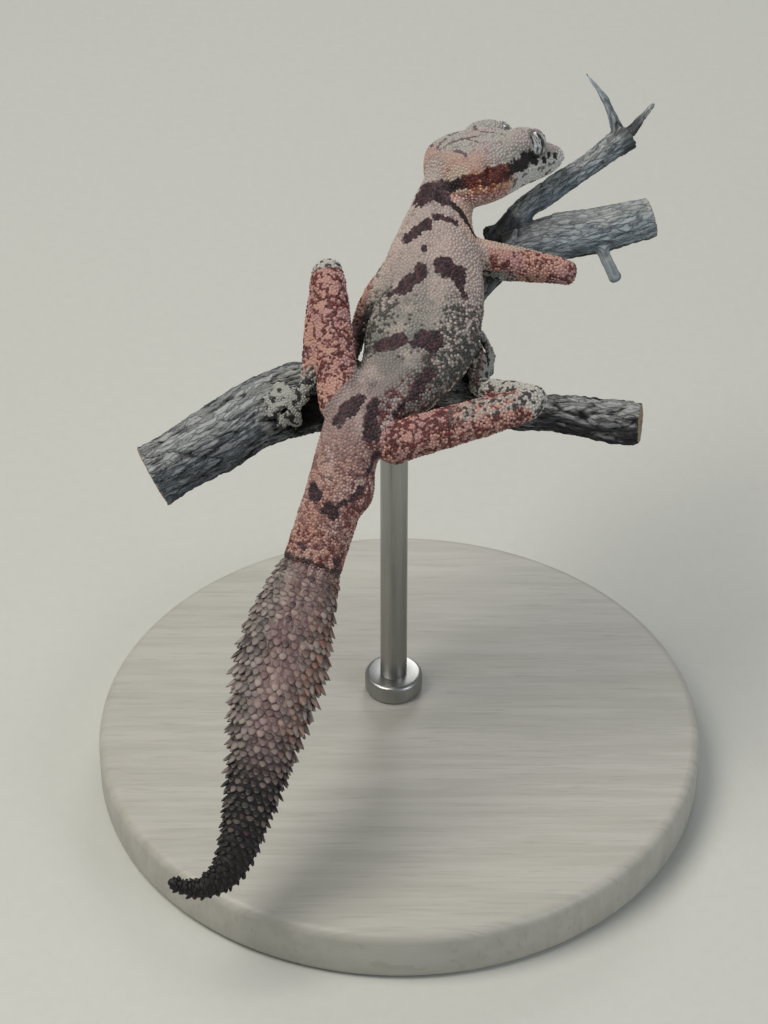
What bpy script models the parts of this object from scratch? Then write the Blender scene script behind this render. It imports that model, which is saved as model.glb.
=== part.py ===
"""Feather-tailed gecko, life size, gripping a forked thorn twig on a display stand.

Sizes are in millimetres and the meshes in metres. +Z is up, and the origin is the
middle of the stand's underside. Places on the animal and the twig are measured from
the middle of the pelvis. The head looks towards +X and +Y, and the tail hangs down
towards -Y.
"""
import math
import random

import bmesh
import bpy
from mathutils import Matrix, Vector

MM = 0.001
GAP = 0.32            # space kept between pieces that touch
PELVIS = Vector((-4.0, -3.0, 41.0))

# Stand
BASE_RADIUS = 27.0
BASE_HEIGHT = 5.0
BASE_EDGE = 0.8
ROD_RADIUS = 1.2
ROD_ALONG = 22.5      # where the rod meets the lower branch, along it from its left end
ROD_FOOT = 3.0        # how deep the rod stands in its hole in the base
COLLAR_RADIUS = 2.6
COLLAR_HEIGHT = 1.6

# Body axis from the tail tip to the back of the head. Each station is the axis point,
# half width, half height, and how far the back tilts from straight up, in degrees.
TAIL_TIP = (-15.2, -23.4, -29.9)
BODY = (
    (TAIL_TIP, 0.35, 0.30, 60),
    ((-12.7, -23.7, -30.5), 0.75, 0.65, 60),
    ((-10.3, -22.9, -29.4), 1.25, 1.00, 56),
    ((-9.0, -20.9, -26.8), 1.70, 1.30, 52),
    ((-7.9, -18.2, -23.3), 2.20, 1.60, 52),
    ((-6.9, -15.4, -19.7), 2.90, 1.95, 52),
    ((-6.1, -13.2, -16.9), 3.45, 2.20, 52),
    ((-5.3, -11.2, -14.3), 3.45, 2.25, 52),
    ((-4.3, -9.2, -11.7), 3.00, 2.15, 52),
    ((-3.3, -7.5, -9.6), 2.50, 2.00, 52),
    ((-2.1, -5.2, -6.6), 2.40, 2.05, 50),
    ((-0.7, -2.9, -2.9), 2.50, 2.15, 42),
    ((0.3, -0.5, -0.6), 2.55, 2.25, 28),
    ((1.8, 2.3, -0.2), 2.80, 2.30, 18),
    ((4.0, 4.9, 0.5), 3.75, 2.50, 15),
    ((5.6, 8.2, 1.6), 4.65, 2.70, 15),
    ((6.7, 13.0, 3.4), 4.35, 2.60, 15),
    ((6.95, 16.6, 5.0), 3.85, 2.45, 16),
    ((7.5, 20.2, 6.8), 2.70, 2.10, 20),
    ((8.6, 22.6, 8.4), 2.25, 1.95, 24),
    ((10.6, 24.4, 8.9), 1.80, 1.60, 24),
)
VENT = 11.45          # stations where the body is parted, counted from the tail tip
BREAK = 9.0
PLUME_MIDDLE = 5.6
TIP_JOINT = 3.0
NAPE = 18.0
BULGE = 10.65         # station of the swelling behind the vent, on the right side
BULGE_OUT = 1.55
BULGE_SIZE = (2.3, 1.45, 1.6)

# Spines of the tail's plume, in whorls from the break to the tip
WHORL_STEP = 1.22
SPINE_STEP = 1.30     # room for each spine round a whorl
SPINE_REACH = 0.85    # how far the longest stand out, at the plume's two edges
SPINE_WIDTH = 0.70
SPINE_ROOT = 0.45
SPINE_LEAN = 54.0     # degrees from straight out, towards the tip

# Head, measured forward from its back end: half width, top and underside
HEAD_LENGTH = 12.5
HEAD_HEADING = 61.0
HEAD_DIP = 9.0
HEAD_ROLL = 20.0
SNOUT = Vector((18.0, 28.2, 7.9))
HEAD = (
    (0.2, 2.5, 2.0, -1.9),
    (1.0, 3.8, 2.5, -2.9),
    (2.4, 4.55, 2.9, -3.2),
    (4.2, 4.5, 3.1, -3.0),
    (6.0, 4.0, 3.1, -2.55),
    (7.8, 3.35, 2.7, -2.05),
    (9.5, 2.65, 2.0, -1.75),
    (10.9, 2.0, 1.4, -1.45),
    (11.9, 1.35, 0.95, -1.05),
)
LIP_LEVEL = -0.25
LIP_STEP = 0.28
EYE_RADIUS = 1.28
EYE_PLACE = (-4.45, 2.5, 1.7)
BROW_PLACE = (-5.8, 2.75, 2.15)
BROW_SIZE = (2.15, 1.45, 1.25)
NOSTRIL_PLACE = (-0.95, 0.85, 0.55)
NOSTRIL_RADIUS = 0.26
EAR_PLACE = (-10.1, 3.95, 0.35)
EAR_SIZE = (0.42, 0.75, 0.62)

# Perch: each station is the axis point and the bark's radius
LOWER_BRANCH = (
    ((-17.0, 1.4, -7.2), 2.75),
    ((-11.8, 3.2, -4.9), 2.85),
    ((-8.4, 5.1, -3.6), 2.85),
    ((-4.6, 6.7, -2.9), 3.15),
    ((-0.3, 7.4, -3.7), 2.60),
    ((6.5, 7.7, -4.1), 2.30),
    ((12.5, 7.4, -4.4), 1.75),
    ((16.8, 6.7, -4.5), 1.60),
    ((22.0, 5.9, -4.7), 1.90),
    ((24.6, 5.4, -4.6), 1.70),
)
FORK_ARM = (
    ((5.8, 7.7, -4.6), 1.9),
    ((9.3, 11.0, -2.6), 1.8),
    ((8.7, 14.9, -1.1), 1.45),
    ((10.5, 18.6, 0.7), 1.55),
    ((12.6, 21.6, 2.0), 1.85),
)
BOUGH = (
    ((12.6, 21.6, 2.0), 1.85),
    ((16.1, 22.9, 2.3), 1.95),
    ((20.7, 23.8, 2.7), 2.05),
    ((24.0, 24.6, 3.2), 1.9),
    ((26.4, 25.2, 3.7), 1.75),
)
TWIG = (
    ((12.3, 21.9, 2.6), 1.25),
    ((14.6, 25.0, 4.0), 1.15),
    ((17.4, 27.7, 4.7), 1.10),
    ((20.9, 30.0, 6.0), 1.10),
    ((24.4, 32.2, 7.5), 1.30),
)
THORNS = (
    (((23.6, 31.9, 7.7), 0.75), ((22.2, 33.5, 10.3), 0.42), ((20.4, 35.0, 12.3), 0.15)),
    (((24.2, 32.2, 7.5), 0.65), ((25.6, 33.1, 8.9), 0.40), ((26.6, 33.8, 9.9), 0.15)),
)
KNOB = (((12.6, 22.0, 2.6), 1.0), ((11.9, 22.7, 3.3), 0.95), ((11.2, 23.2, 3.9), 0.6))
STUB = (((21.2, 23.6, 2.6), 0.75), ((22.0, 21.4, 1.4), 0.60), ((22.9, 19.0, 0.6), 0.65))

# Limbs: joint points and the radii at them
ARM_RADII = (1.28, 1.22, 1.05)
FOREARM_RADII = (0.85, 0.72, 0.58)
THIGH_RADII = (1.75, 1.62, 1.24)
SHIN_RADII = (1.15, 1.02, 0.72)
LIMBS = {
    "arm_right": ((8.4, 17.7, 5.1), (19.3, 16.95, 2.9)),
    "arm_left": ((4.6, 16.9, 4.8), (0.9, 12.4, 1.8)),
    "leg_right": ((1.8, -2.0, -1.6), (15.6, 0.65, 1.3)),
    "leg_left": ((-0.9, 0.0, -0.4), (-2.15, 12.35, 7.45)),
}

# Feet: the perch they grip, how far along it, the turn round it from straight up, and
# where the toes point on the bark, from along the perch towards its growing end
FEET = {
    "hand_right": ("fork", 14.7, -18, 60, 0.80),
    "hand_left": ("lower", 18.1, 28, 75, 0.80),
    "foot_right": ("fork", 4.4, -52, 8, 1.1),
    "foot_left": ("lower", 13.6, -36, 190, 0.95),
}
TOE_SPREAD = (-60, -30, -2, 28, 58)
TOE_LENGTH = (2.3, 2.9, 3.2, 3.1, 2.7)
PALM = (1.15, 0.95, 0.55)
HEEL = 0.75           # from the middle of the palm back to the ankle
# Along a toe: share of its length, half width, half height and lift off the bark
TOE = (
    (0.00, 0.38, 0.34, 0.10),
    (0.30, 0.30, 0.30, 0.30),
    (0.58, 0.30, 0.28, 0.20),
    (0.74, 0.56, 0.26, 0.05),
    (0.90, 0.58, 0.24, 0.00),
    (1.00, 0.34, 0.18, 0.00),
)
TOE_SIDES = 8

COLOURS = {
    "skin_body": (0.36, 0.25, 0.21, 0.75),
    "skin_limb": (0.42, 0.18, 0.14, 0.75),
    "skin_tail": (0.20, 0.13, 0.12, 0.80),
    "skin_head": (0.40, 0.33, 0.28, 0.75),
    "eye": (0.30, 0.32, 0.31, 0.15),
    "bark": (0.14, 0.14, 0.15, 0.90),
    "base_wood": (0.62, 0.57, 0.49, 0.55),
    "rod_steel": (0.55, 0.55, 0.55, 0.30),
}


class Track:
    """A smooth line of stations, with the sizes that change along it."""

    def __init__(self, stations):
        self.rows = []
        for point, *sizes in stations:
            self.rows.append([*point, *sizes])
        self.knots = [0.0]
        for a, b in zip(self.rows, self.rows[1:]):
            self.knots.append(self.knots[-1] + math.dist(a[:3], b[:3]))
        self.length = self.knots[-1]

    def slope(self, i, j):
        low = max(i - 1, 0)
        high = min(i + 1, len(self.rows) - 1)
        span = self.knots[high] - self.knots[low]
        return (self.rows[high][j] - self.rows[low][j]) / span

    def at(self, s):
        i = 0
        while i < len(self.knots) - 2 and s > self.knots[i + 1]:
            i += 1
        width = self.knots[i + 1] - self.knots[i]
        u = (s - self.knots[i]) / width
        row = []
        for j in range(len(self.rows[0])):
            a = self.rows[i][j]
            b = self.rows[i + 1][j]
            if u < 0:
                row.append(a + u * width * self.slope(i, j) if j < 3 else a)
            elif u > 1:
                row.append(b + (u - 1) * width * self.slope(i + 1, j) if j < 3 else b)
            else:
                ma = self.slope(i, j) * width
                mb = self.slope(i + 1, j) * width
                h1 = 2 * u**3 - 3 * u**2 + 1
                h2 = u**3 - 2 * u**2 + u
                h3 = 3 * u**2 - 2 * u**3
                h4 = u**3 - u**2
                row.append(h1 * a + h2 * ma + h3 * b + h4 * mb)
        return Vector(row[:3]), row[3:]

    def station(self, index):
        """Length at a station, where 2.5 is half way from the third to the fourth."""
        whole = int(index)
        if whole >= len(self.knots) - 1:
            return self.length
        return self.knots[whole] + (index - whole) * (self.knots[whole + 1] - self.knots[whole])

    def frame(self, s, up=None):
        """Point, sizes, tangent, side and back directions at a length."""
        point, sizes = self.at(s)
        step = 0.02
        tangent = (self.at(s + step)[0] - self.at(s - step)[0]).normalized()
        if up is None:
            tilt = math.radians(sizes[-1])
            up = Vector((0, -math.sin(tilt), math.cos(tilt)))
        side = tangent.cross(up).normalized()
        back = side.cross(tangent)
        return point, sizes, tangent, side, back


def clear_scene():
    for item in list(bpy.data.objects):
        bpy.data.objects.remove(item)


def make_collection(name):
    collection = bpy.data.collections.new(name)
    bpy.context.scene.collection.children.link(collection)
    return collection


def make_material(name):
    red, green, blue, roughness = COLOURS[name]
    material = bpy.data.materials.new(name)
    material.use_nodes = True
    shader = material.node_tree.nodes["Principled BSDF"]
    shader.inputs["Base Color"].default_value = (red, green, blue, 1)
    shader.inputs["Roughness"].default_value = roughness
    shader.inputs["Metallic"].default_value = 1.0 if name == "rod_steel" else 0.0
    return material


def new_object(name, mesh):
    item = bpy.data.objects.new(name, mesh)
    SCRATCH.objects.link(item)
    return item


def mesh_from_rings(name, rings, first=None, last=None):
    """Skin rings of points into a closed mesh, ended by a point or a flat face."""
    shape = bmesh.new()
    loops = []
    for ring in rings:
        loops.append([shape.verts.new((point + PELVIS) * MM) for point in ring])
    count = len(rings[0])
    for a, b in zip(loops, loops[1:]):
        for k in range(count):
            n = (k + 1) % count
            shape.faces.new((a[k], a[n], b[n], b[k]))
    for loop, tip, turn in ((loops[0], first, -1), (loops[-1], last, 1)):
        if tip is None:
            shape.faces.new(loop[::turn])
            continue
        pole = shape.verts.new((tip + PELVIS) * MM)
        for k in range(count):
            n = (k + 1) % count
            shape.faces.new((loop[k], loop[n], pole)[::turn])
    bmesh.ops.triangulate(shape, faces=[f for f in shape.faces if len(f.verts) > 4])
    bmesh.ops.recalc_face_normals(shape, faces=shape.faces)
    mesh = bpy.data.meshes.new(name)
    shape.to_mesh(mesh)
    shape.free()
    return new_object(name, mesh)


def oval(point, side, back, half_width, half_height, sides, square=2.0):
    ring = []
    for k in range(sides):
        angle = 2 * math.pi * k / sides
        c = math.copysign(abs(math.cos(angle)) ** (2 / square), math.cos(angle))
        s = math.copysign(abs(math.sin(angle)) ** (2 / square), math.sin(angle))
        ring.append(point + side * (half_width * c) + back * (half_height * s))
    return ring


def body_length(track, name, start, end, sides, step, ends=("flat", "flat"), grow=0.0, square=2.15):
    """A length of the body between two places on its axis."""
    start -= grow
    end += grow
    places = []
    round_start = ends[0] == "round"
    round_end = ends[1] == "round"
    cap_a = min(track.at(start)[1][:2]) + grow if round_start else 0
    cap_b = min(track.at(end)[1][:2]) + grow if round_end else 0
    if round_start:
        for angle in (18, 42, 66):
            turn = math.radians(angle)
            places.append((start + cap_a * (1 - math.cos(turn)), math.sin(turn)))
    low = start + cap_a
    high = end - cap_b
    count = max(1, round((high - low) / step))
    for k in range(count + 1):
        places.append((low + (high - low) * k / count, 1.0))
    if round_end:
        for angle in (66, 42, 18):
            turn = math.radians(angle)
            places.append((end - cap_b * (1 - math.cos(turn)), math.sin(turn)))
    rings = []
    for s, scale in places:
        point, sizes, _, side, back = track.frame(s)
        wide = (sizes[0] + grow) * scale
        high_half = (sizes[1] + grow) * scale
        rings.append(oval(point, side, back, wide, high_half, sides, square))
    first = track.at(start)[0] if round_start else None
    last = track.at(end)[0] if round_end else None
    return mesh_from_rings(name, rings, first, last)


def spine(place, out, back, across, reach, width):
    """A flat-sided thorn with its root sunk in the skin."""
    lean = math.radians(SPINE_LEAN)
    root = place - out * SPINE_ROOT
    ring = [
        root + across * width,
        root - back * width * 0.8,
        root - across * width,
        root + back * width,
    ]
    length = reach / math.cos(lean)
    tip = place + (out * math.cos(lean) + back * math.sin(lean)) * length
    return mesh_from_rings("spine", [ring], None, tip)


def plume_spines(track, low, high, draw):
    """Whorls of spines on a length of the tail, small at both ends of the plume."""
    plume = track.station(BREAK)
    pieces = []
    count = max(1, int((high - low - 1.2) / WHORL_STEP))
    for whorl in range(count + 1):
        s = high - 0.45 - whorl * WHORL_STEP
        point, sizes, tangent, side, back = track.frame(s)
        wide, tall = sizes[0], sizes[1]
        ramp = min(1.0, 0.45 + 0.14 * (plume - s), 0.5 + 0.16 * s)
        number = max(5, round(math.pi * (wide + tall) / SPINE_STEP))
        for k in range(number):
            angle = 2 * math.pi * (k + 0.5 * (whorl % 2) + draw.uniform(-0.12, 0.12)) / number
            c, n = math.cos(angle), math.sin(angle)
            place = point + side * (wide * c) + back * (tall * n)
            out = (side * (c / wide) + back * (n / tall)).normalized()
            towards_tip = (-tangent + out * tangent.dot(out)).normalized()
            edge = 0.58 + 0.42 * abs(c) ** 1.5 - (0.18 if n < -0.3 else 0.0)
            size = ramp * edge * draw.uniform(0.88, 1.1)
            across = out.cross(towards_tip)
            width = SPINE_WIDTH * (0.55 + 0.45 * ramp)
            pieces.append(spine(place, out, towards_tip, across, SPINE_REACH * size, width))
    return pieces


def round_track(points, radii, tilt=0):
    """A limb or branch whose sections are round."""
    stations = []
    for point, radius in zip(points, radii):
        stations.append((point, radius, radius, tilt))
    return Track(stations)


def limb(name, points, radii, grow=0.0, sides=12, step=1.6):
    track = round_track(points, radii)
    return body_length(track, name, 0, track.length, sides, step, ("round", "round"), grow, 2.0)


def ball(name, place, size, turn=None, segments=12, rings=8):
    """An ellipsoid with its axes turned by a matrix."""
    shape = bmesh.new()
    bmesh.ops.create_uvsphere(shape, u_segments=segments, v_segments=rings, radius=1.0)
    turn = turn or Matrix.Identity(3)
    matrix = Matrix.Translation((place + PELVIS) * MM) @ turn.to_4x4()
    matrix = matrix @ Matrix.Diagonal((*(s * MM for s in size), 1))
    bmesh.ops.transform(shape, matrix=matrix, verts=shape.verts)
    mesh = bpy.data.meshes.new(name)
    shape.to_mesh(mesh)
    shape.free()
    return new_object(name, mesh)


def keep_largest(mesh):
    """Drop every closed surface but the one that fills the most space."""
    shape = bmesh.new()
    shape.from_mesh(mesh)
    bmesh.ops.remove_doubles(shape, verts=shape.verts, dist=0.0000004)
    waiting = set(shape.faces)
    groups = []
    while waiting:
        seed = waiting.pop()
        group = [seed]
        for face in group:
            for edge in face.edges:
                for other in edge.link_faces:
                    if other in waiting:
                        waiting.remove(other)
                        group.append(other)
        groups.append(group)
    groups.sort(key=lambda group: sum(face.calc_area() for face in group))
    for group in groups[:-1]:
        bmesh.ops.delete(shape, geom=group, context="FACES")
    bmesh.ops.triangulate(shape, faces=shape.faces)
    shape.to_mesh(mesh)
    shape.free()


def apply_boolean(target, pieces, operation, solver="EXACT"):
    group = bpy.data.collections.new("joining")
    bpy.context.scene.collection.children.link(group)
    for piece in pieces:
        group.objects.link(piece)
        SCRATCH.objects.unlink(piece)
    modifier = target.modifiers.new("join", "BOOLEAN")
    modifier.operation = operation
    modifier.solver = solver
    modifier.operand_type = "COLLECTION"
    modifier.collection = group
    graph = bpy.context.evaluated_depsgraph_get()
    result = bpy.data.meshes.new_from_object(target.evaluated_get(graph))
    target.modifiers.remove(modifier)
    target.data = result
    for piece in pieces:
        bpy.data.objects.remove(piece)
    bpy.data.collections.remove(group)
    keep_largest(target.data)
    return target


def fuse(target, pieces, solver="EXACT"):
    return apply_boolean(target, pieces, "UNION", solver)


def cut(target, pieces):
    return apply_boolean(target, pieces, "DIFFERENCE")


def finish(name, item, material):
    item.name = name
    item.data.name = name
    item.data.materials.clear()
    item.data.materials.append(MATERIALS[material])
    SCRATCH.objects.unlink(item)
    PARTS.objects.link(item)
    item.data.shade_smooth()
    item.data.set_sharp_from_angle(angle=math.radians(50))
    return item


def head_axes():
    """Forward, left and up directions of the head."""
    heading = math.radians(HEAD_HEADING)
    dip = math.radians(HEAD_DIP)
    roll = math.radians(HEAD_ROLL)
    forward = Vector((
        math.sin(heading) * math.cos(dip),
        math.cos(heading) * math.cos(dip),
        -math.sin(dip),
    ))
    level = Vector((-math.cos(heading), math.sin(heading), 0))
    upright = forward.cross(level)
    left = level * math.cos(roll) - upright * math.sin(roll)
    return forward, left, forward.cross(left)


def head_point(place, mirror=1):
    """A place on the head: forward of the snout, to the left and up."""
    forward, left, up = head_axes()
    return SNOUT + forward * place[0] + left * (place[1] * mirror) + up * place[2]


def head_turn():
    forward, left, up = head_axes()
    return Matrix((forward, left, up)).transposed()


def head_loft(name, inset, floor, roof, grow=0.0):
    """The head between two levels, drawn in by inset."""
    rings = []
    sides = 20
    for ahead, wide, top, under in HEAD:
        top = min(top, roof) + grow
        under = max(under, floor) - grow
        middle = (top + under) / 2
        forward = ahead - HEAD_LENGTH
        ring = []
        for k in range(sides):
            angle = 2 * math.pi * k / sides
            c = math.copysign(abs(math.cos(angle)) ** (2 / 2.3), math.cos(angle))
            s = math.copysign(abs(math.sin(angle)) ** (2 / 2.3), math.sin(angle))
            across = (wide - inset + grow) * c
            ring.append(head_point((forward, across, middle + (top - under) / 2 * s)))
        rings.append(ring)
    back_middle = (min(HEAD[0][2], roof) + max(HEAD[0][3], floor)) / 2
    front_middle = (min(HEAD[-1][2], roof) + max(HEAD[-1][3], floor)) / 2
    first = head_point((-HEAD_LENGTH - 0.25 - grow, 0, back_middle))
    last = head_point((grow - inset, 0, front_middle))
    return mesh_from_rings(name, rings, first, last)


def make_head():
    skull = head_loft("skull", 0.0, LIP_LEVEL, 9.0)
    jaw = head_loft("jaw", LIP_STEP, -9.0, LIP_LEVEL + 0.9)
    turn = head_turn()
    brows = []
    for mirror in (1, -1):
        brows.append(ball("brow", head_point(BROW_PLACE, mirror), BROW_SIZE, turn, 12, 8))
    head = fuse(skull, [jaw] + brows)
    cutters = []
    for mirror in (1, -1):
        socket = EYE_RADIUS + GAP
        cutters.append(ball("socket", head_point(EYE_PLACE, mirror), (socket,) * 3, turn, 16, 10))
        hole = (NOSTRIL_RADIUS * 1.5, NOSTRIL_RADIUS, NOSTRIL_RADIUS)
        cutters.append(ball("nostril", head_point(NOSTRIL_PLACE, mirror), hole, turn, 8, 6))
        cutters.append(ball("ear", head_point(EAR_PLACE, mirror), EAR_SIZE, turn, 10, 6))
    cut(head, cutters)
    finish("head", head, "skin_head")
    for mirror, side in ((1, "left"), (-1, "right")):
        eye = ball("eye", head_point(EYE_PLACE, mirror), (EYE_RADIUS,) * 3, turn, 16, 10)
        finish("eye_" + side, eye, "eye")


def grown_head():
    return head_loft("head clearance", 0.0, -9.0, 9.0, GAP)


def make_body(track):
    """Torso, neck and the lengths of the tail, parted by thin cuts."""
    half = GAP / 2
    nape = track.station(NAPE)
    vent = track.station(VENT)
    breaking = track.station(BREAK)
    middle = track.station(PLUME_MIDDLE)
    tip = track.station(TIP_JOINT)
    torso = body_length(track, "torso", vent + half, nape - half, 24, 1.5)
    cut(torso, [perch_piece("fork", GAP), perch_piece("lower", GAP)])
    finish("torso", torso, "skin_body")
    neck = body_length(track, "neck", nape + half, track.length, 20, 1.0, ("flat", "round"))
    cut(neck, [grown_head()])
    finish("neck", neck, "skin_body")
    root = body_length(track, "tail_base", breaking + half, vent - half, 20, 1.4)
    point, _, tangent, side, back = track.frame(track.station(BULGE))
    turn = Matrix((tangent, side, back)).transposed()
    fuse(root, [ball("bulge", point + side * BULGE_OUT, BULGE_SIZE, turn)])
    finish("tail_base", root, "skin_limb")
    draw = random.Random(7)
    for name, low, high in (("tail_plume", middle, breaking), ("tail_end", tip, middle)):
        piece = body_length(track, name, low + half, high - half, 20, 1.5)
        fuse(piece, plume_spines(track, low, high, draw), "MANIFOLD")
        finish(name, piece, "skin_tail")
    curl = body_length(track, "tail_tip", 0, tip - half, 16, 1.2, ("round", "flat"))
    fuse(curl, plume_spines(track, 0.6, tip, draw), "MANIFOLD")
    finish("tail_tip", curl, "skin_tail")


def perch_tracks():
    tracks = {}
    for name, stations in (("lower", LOWER_BRANCH), ("fork", FORK_ARM), ("bough", BOUGH), ("twig", TWIG)):
        points = [point for point, _ in stations]
        radii = [radius for _, radius in stations]
        tracks[name] = round_track(points, radii)
    return tracks


def wood_piece(name, track, seed, grow=0.0, sides=12, step=2.0, wander=0.07, start=0.0, end=None):
    """A length of branch, knotty and a little out of round."""
    draw = random.Random(seed)
    end = track.length if end is None else end
    start -= grow
    end += grow
    count = max(2, round((end - start) / step))
    rings = []
    for k in range(count + 1):
        s = start + (end - start) * k / count
        point, sizes, _, side, back = track.frame(s, Vector((0.1, -0.2, 0.97)))
        swell = 1 + wander * draw.uniform(-1, 1)
        ring = oval(point, side, back, 1, 1, sides)
        out = []
        for spot in ring:
            radius = sizes[0] * swell * (1 + wander * 0.6 * draw.uniform(-1, 1)) + grow
            out.append(point + (spot - point) * radius)
        rings.append(out)
    return mesh_from_rings(name, rings)


PERCH_SEEDS = {"lower": 3, "fork": 5, "bough": 8, "twig": 12}


def perch_piece(name, grow=0.0):
    sides = {"lower": 14, "fork": 12, "bough": 12, "twig": 10}[name]
    end = PERCH[name].length - GAP if name == "fork" else None
    return wood_piece("perch " + name, PERCH[name], PERCH_SEEDS[name], grow, sides, end=end)


def thorn(name, stations, grow=0.0, sides=6):
    points = [point for point, _ in stations]
    radii = [radius for _, radius in stations]
    return limb(name, points, radii, grow, sides, 1.4)


def make_perch():
    lower = perch_piece("lower")
    finish("perch_branch", lower, "bark")
    fork = perch_piece("fork")
    cut(fork, [perch_piece("lower", GAP)])
    finish("perch_fork", fork, "bark")
    bough = fuse(perch_piece("bough"), [thorn("stub", STUB)])
    cut(bough, [perch_piece("fork", GAP)])
    finish("perch_bough", bough, "bark")
    twig = fuse(perch_piece("twig"), [thorn("thorn", stations) for stations in THORNS + (KNOB,)])
    cut(twig, [perch_piece("bough", GAP), perch_piece("fork", GAP)])
    finish("perch_twig", twig, "bark")


def bark_point(perch, along, turn, lift):
    """A point over the bark: along the perch, round it from straight up, and above it."""
    point, sizes, tangent, side, back = PERCH[perch].frame(along, Vector((0.1, -0.2, 0.97)))
    angle = math.radians(turn)
    out = back * math.cos(angle) - side * math.sin(angle)
    return point + out * (sizes[0] * 1.06 + lift)


def toe_centre(foot, heading, reach, lift):
    """A point of a toe that lies on the bark and wraps round it, and the way out there."""
    perch, along, turn, _, _ = foot
    ahead = reach * math.cos(math.radians(heading))
    round_it = reach * math.sin(math.radians(heading))
    radius = PERCH[perch].at(along)[1][0] + 0.4
    swing = math.degrees(round_it / radius)
    point = bark_point(perch, along + ahead, turn + swing, lift)
    return point, (point - PERCH[perch].at(along + ahead)[0]).normalized()


def toe_piece(foot, heading, length):
    """A slender toe that ends in a broad leaf-shaped pad."""
    rings = []
    for share, wide, thick, lift in TOE:
        point, out = toe_centre(foot, heading, length * share, GAP + thick + lift)
        after, _ = toe_centre(foot, heading, length * share + 0.05, GAP + thick + lift)
        along = (after - point).normalized()
        side = along.cross(out).normalized()
        rings.append(oval(point, side, side.cross(along), wide, thick, TOE_SIDES))
    tip, _ = toe_centre(foot, heading, length * 1.07, GAP + TOE[-1][2])
    return mesh_from_rings("toe", rings, None, tip)


def make_foot(name):
    """A palm and five toes."""
    foot = FEET[name]
    perch, along, turn, heading, size = foot
    centre = bark_point(perch, along, turn, GAP + PALM[2] * size)
    ahead = bark_point(perch, along + 0.5, turn, GAP + PALM[2] * size) - centre
    ahead.normalize()
    out = (centre - PERCH[perch].at(along)[0]).normalized()
    side = out.cross(ahead).normalized()
    frame = Matrix((ahead, side, ahead.cross(side))).transposed()
    palm = ball("palm", centre, [s * size for s in PALM], frame, 10, 7)
    toes = []
    for spread, length in zip(TOE_SPREAD, TOE_LENGTH):
        toes.append(toe_piece(foot, heading + spread, length * size))
    return fuse(palm, toes)


def ankle(name):
    foot = FEET[name]
    heading, size = foot[3:]
    point, _ = toe_centre(foot, heading, -HEEL * size, GAP + PALM[2] * size * 1.3)
    return point


def limb_joints(name):
    root, bend = (Vector(point) for point in LIMBS[name])
    end_name = name.replace("arm", "hand").replace("leg", "foot")
    return root, bend, ankle(end_name)


def limb_piece(name, upper, grow=0.0):
    root, bend, end = limb_joints(name)
    if name.startswith("arm"):
        radii = ARM_RADII if upper else FOREARM_RADII
    else:
        radii = THIGH_RADII if upper else SHIN_RADII
    a, b = (root, bend) if upper else (bend, end)
    middle = (a + b) / 2
    return limb(name, (a, middle, b), radii, grow)


def make_limb(name, others=()):
    """Upper and lower segment and foot, each cut clear of what it grows from."""
    names = ("upper_arm", "forearm", "hand") if name.startswith("arm") else ("thigh", "shin", "foot")
    side = name.split("_")[1]
    upper_name, lower_name, foot_name = (part + "_" + side for part in names)

    def perches():
        return [perch_piece("lower", GAP), perch_piece("fork", GAP)]

    upper = cut(limb_piece(name, True), [grown_torso()] + perches())
    finish(upper_name, upper, "skin_limb")
    lower = cut(limb_piece(name, False), [limb_piece(name, True, GAP), grown_torso()] + perches())
    finish(lower_name, lower, "skin_limb")
    foot = cut(make_foot(foot_name), [
        limb_piece(name, False, GAP),
        limb_piece(name, True, GAP),
        grown_torso(),
    ] + perches() + [limb_piece(other, False, GAP) for other in others])
    finish(foot_name, foot, "skin_limb")


def grown_torso():
    low = BODY_TRACK.station(VENT) - 5.0
    high = BODY_TRACK.station(NAPE) + 1.0
    return body_length(BODY_TRACK, "torso clearance", low, high, 24, 1.5, ("flat", "flat"), GAP)


def cylinder(name, radius, low, high, place, edge=0.0, segments=32):
    shape = bmesh.new()
    bmesh.ops.create_cone(
        shape,
        cap_ends=True,
        segments=segments,
        radius1=radius * MM,
        radius2=radius * MM,
        depth=(high - low) * MM,
    )
    if edge:
        rims = [e for e in shape.edges if abs(e.verts[0].co.z - e.verts[1].co.z) < 1e-6]
        rims = [e for e in rims if e.verts[0].co.z > 0 and len(e.link_faces) == 2]
        bmesh.ops.bevel(shape, geom=rims, offset=edge * MM, segments=2, profile=0.5, affect="EDGES")
    centre = Vector((place[0], place[1], (low + high) / 2))
    bmesh.ops.translate(shape, vec=centre * MM, verts=shape.verts)
    mesh = bpy.data.meshes.new(name)
    shape.to_mesh(mesh)
    shape.free()
    return new_object(name, mesh)


def make_stand():
    """Turned base, a steel rod in it and a collar where they meet."""
    top_point = PERCH["lower"].at(ROD_ALONG)[0] + PELVIS
    place = (top_point.x, top_point.y)
    base = cylinder("base", BASE_RADIUS, 0, BASE_HEIGHT, (0, 0), BASE_EDGE, 56)
    hole_low = BASE_HEIGHT - ROD_FOOT - GAP
    cut(base, [cylinder("hole", ROD_RADIUS + GAP, hole_low, BASE_HEIGHT + 2, place, 0, 24)])
    finish("stand_base", base, "base_wood")
    rod = cylinder("rod", ROD_RADIUS, BASE_HEIGHT - ROD_FOOT, top_point.z, place, 0, 24)
    cut(rod, [perch_piece("lower", GAP)])
    finish("stand_rod", rod, "rod_steel")
    low = BASE_HEIGHT + GAP
    collar = cylinder("collar", COLLAR_RADIUS, low, low + COLLAR_HEIGHT, place, 0.4, 24)
    cut(collar, [cylinder("bore", ROD_RADIUS + GAP, 0, 20, place, 0, 24)])
    finish("stand_collar", collar, "rod_steel")


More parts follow.
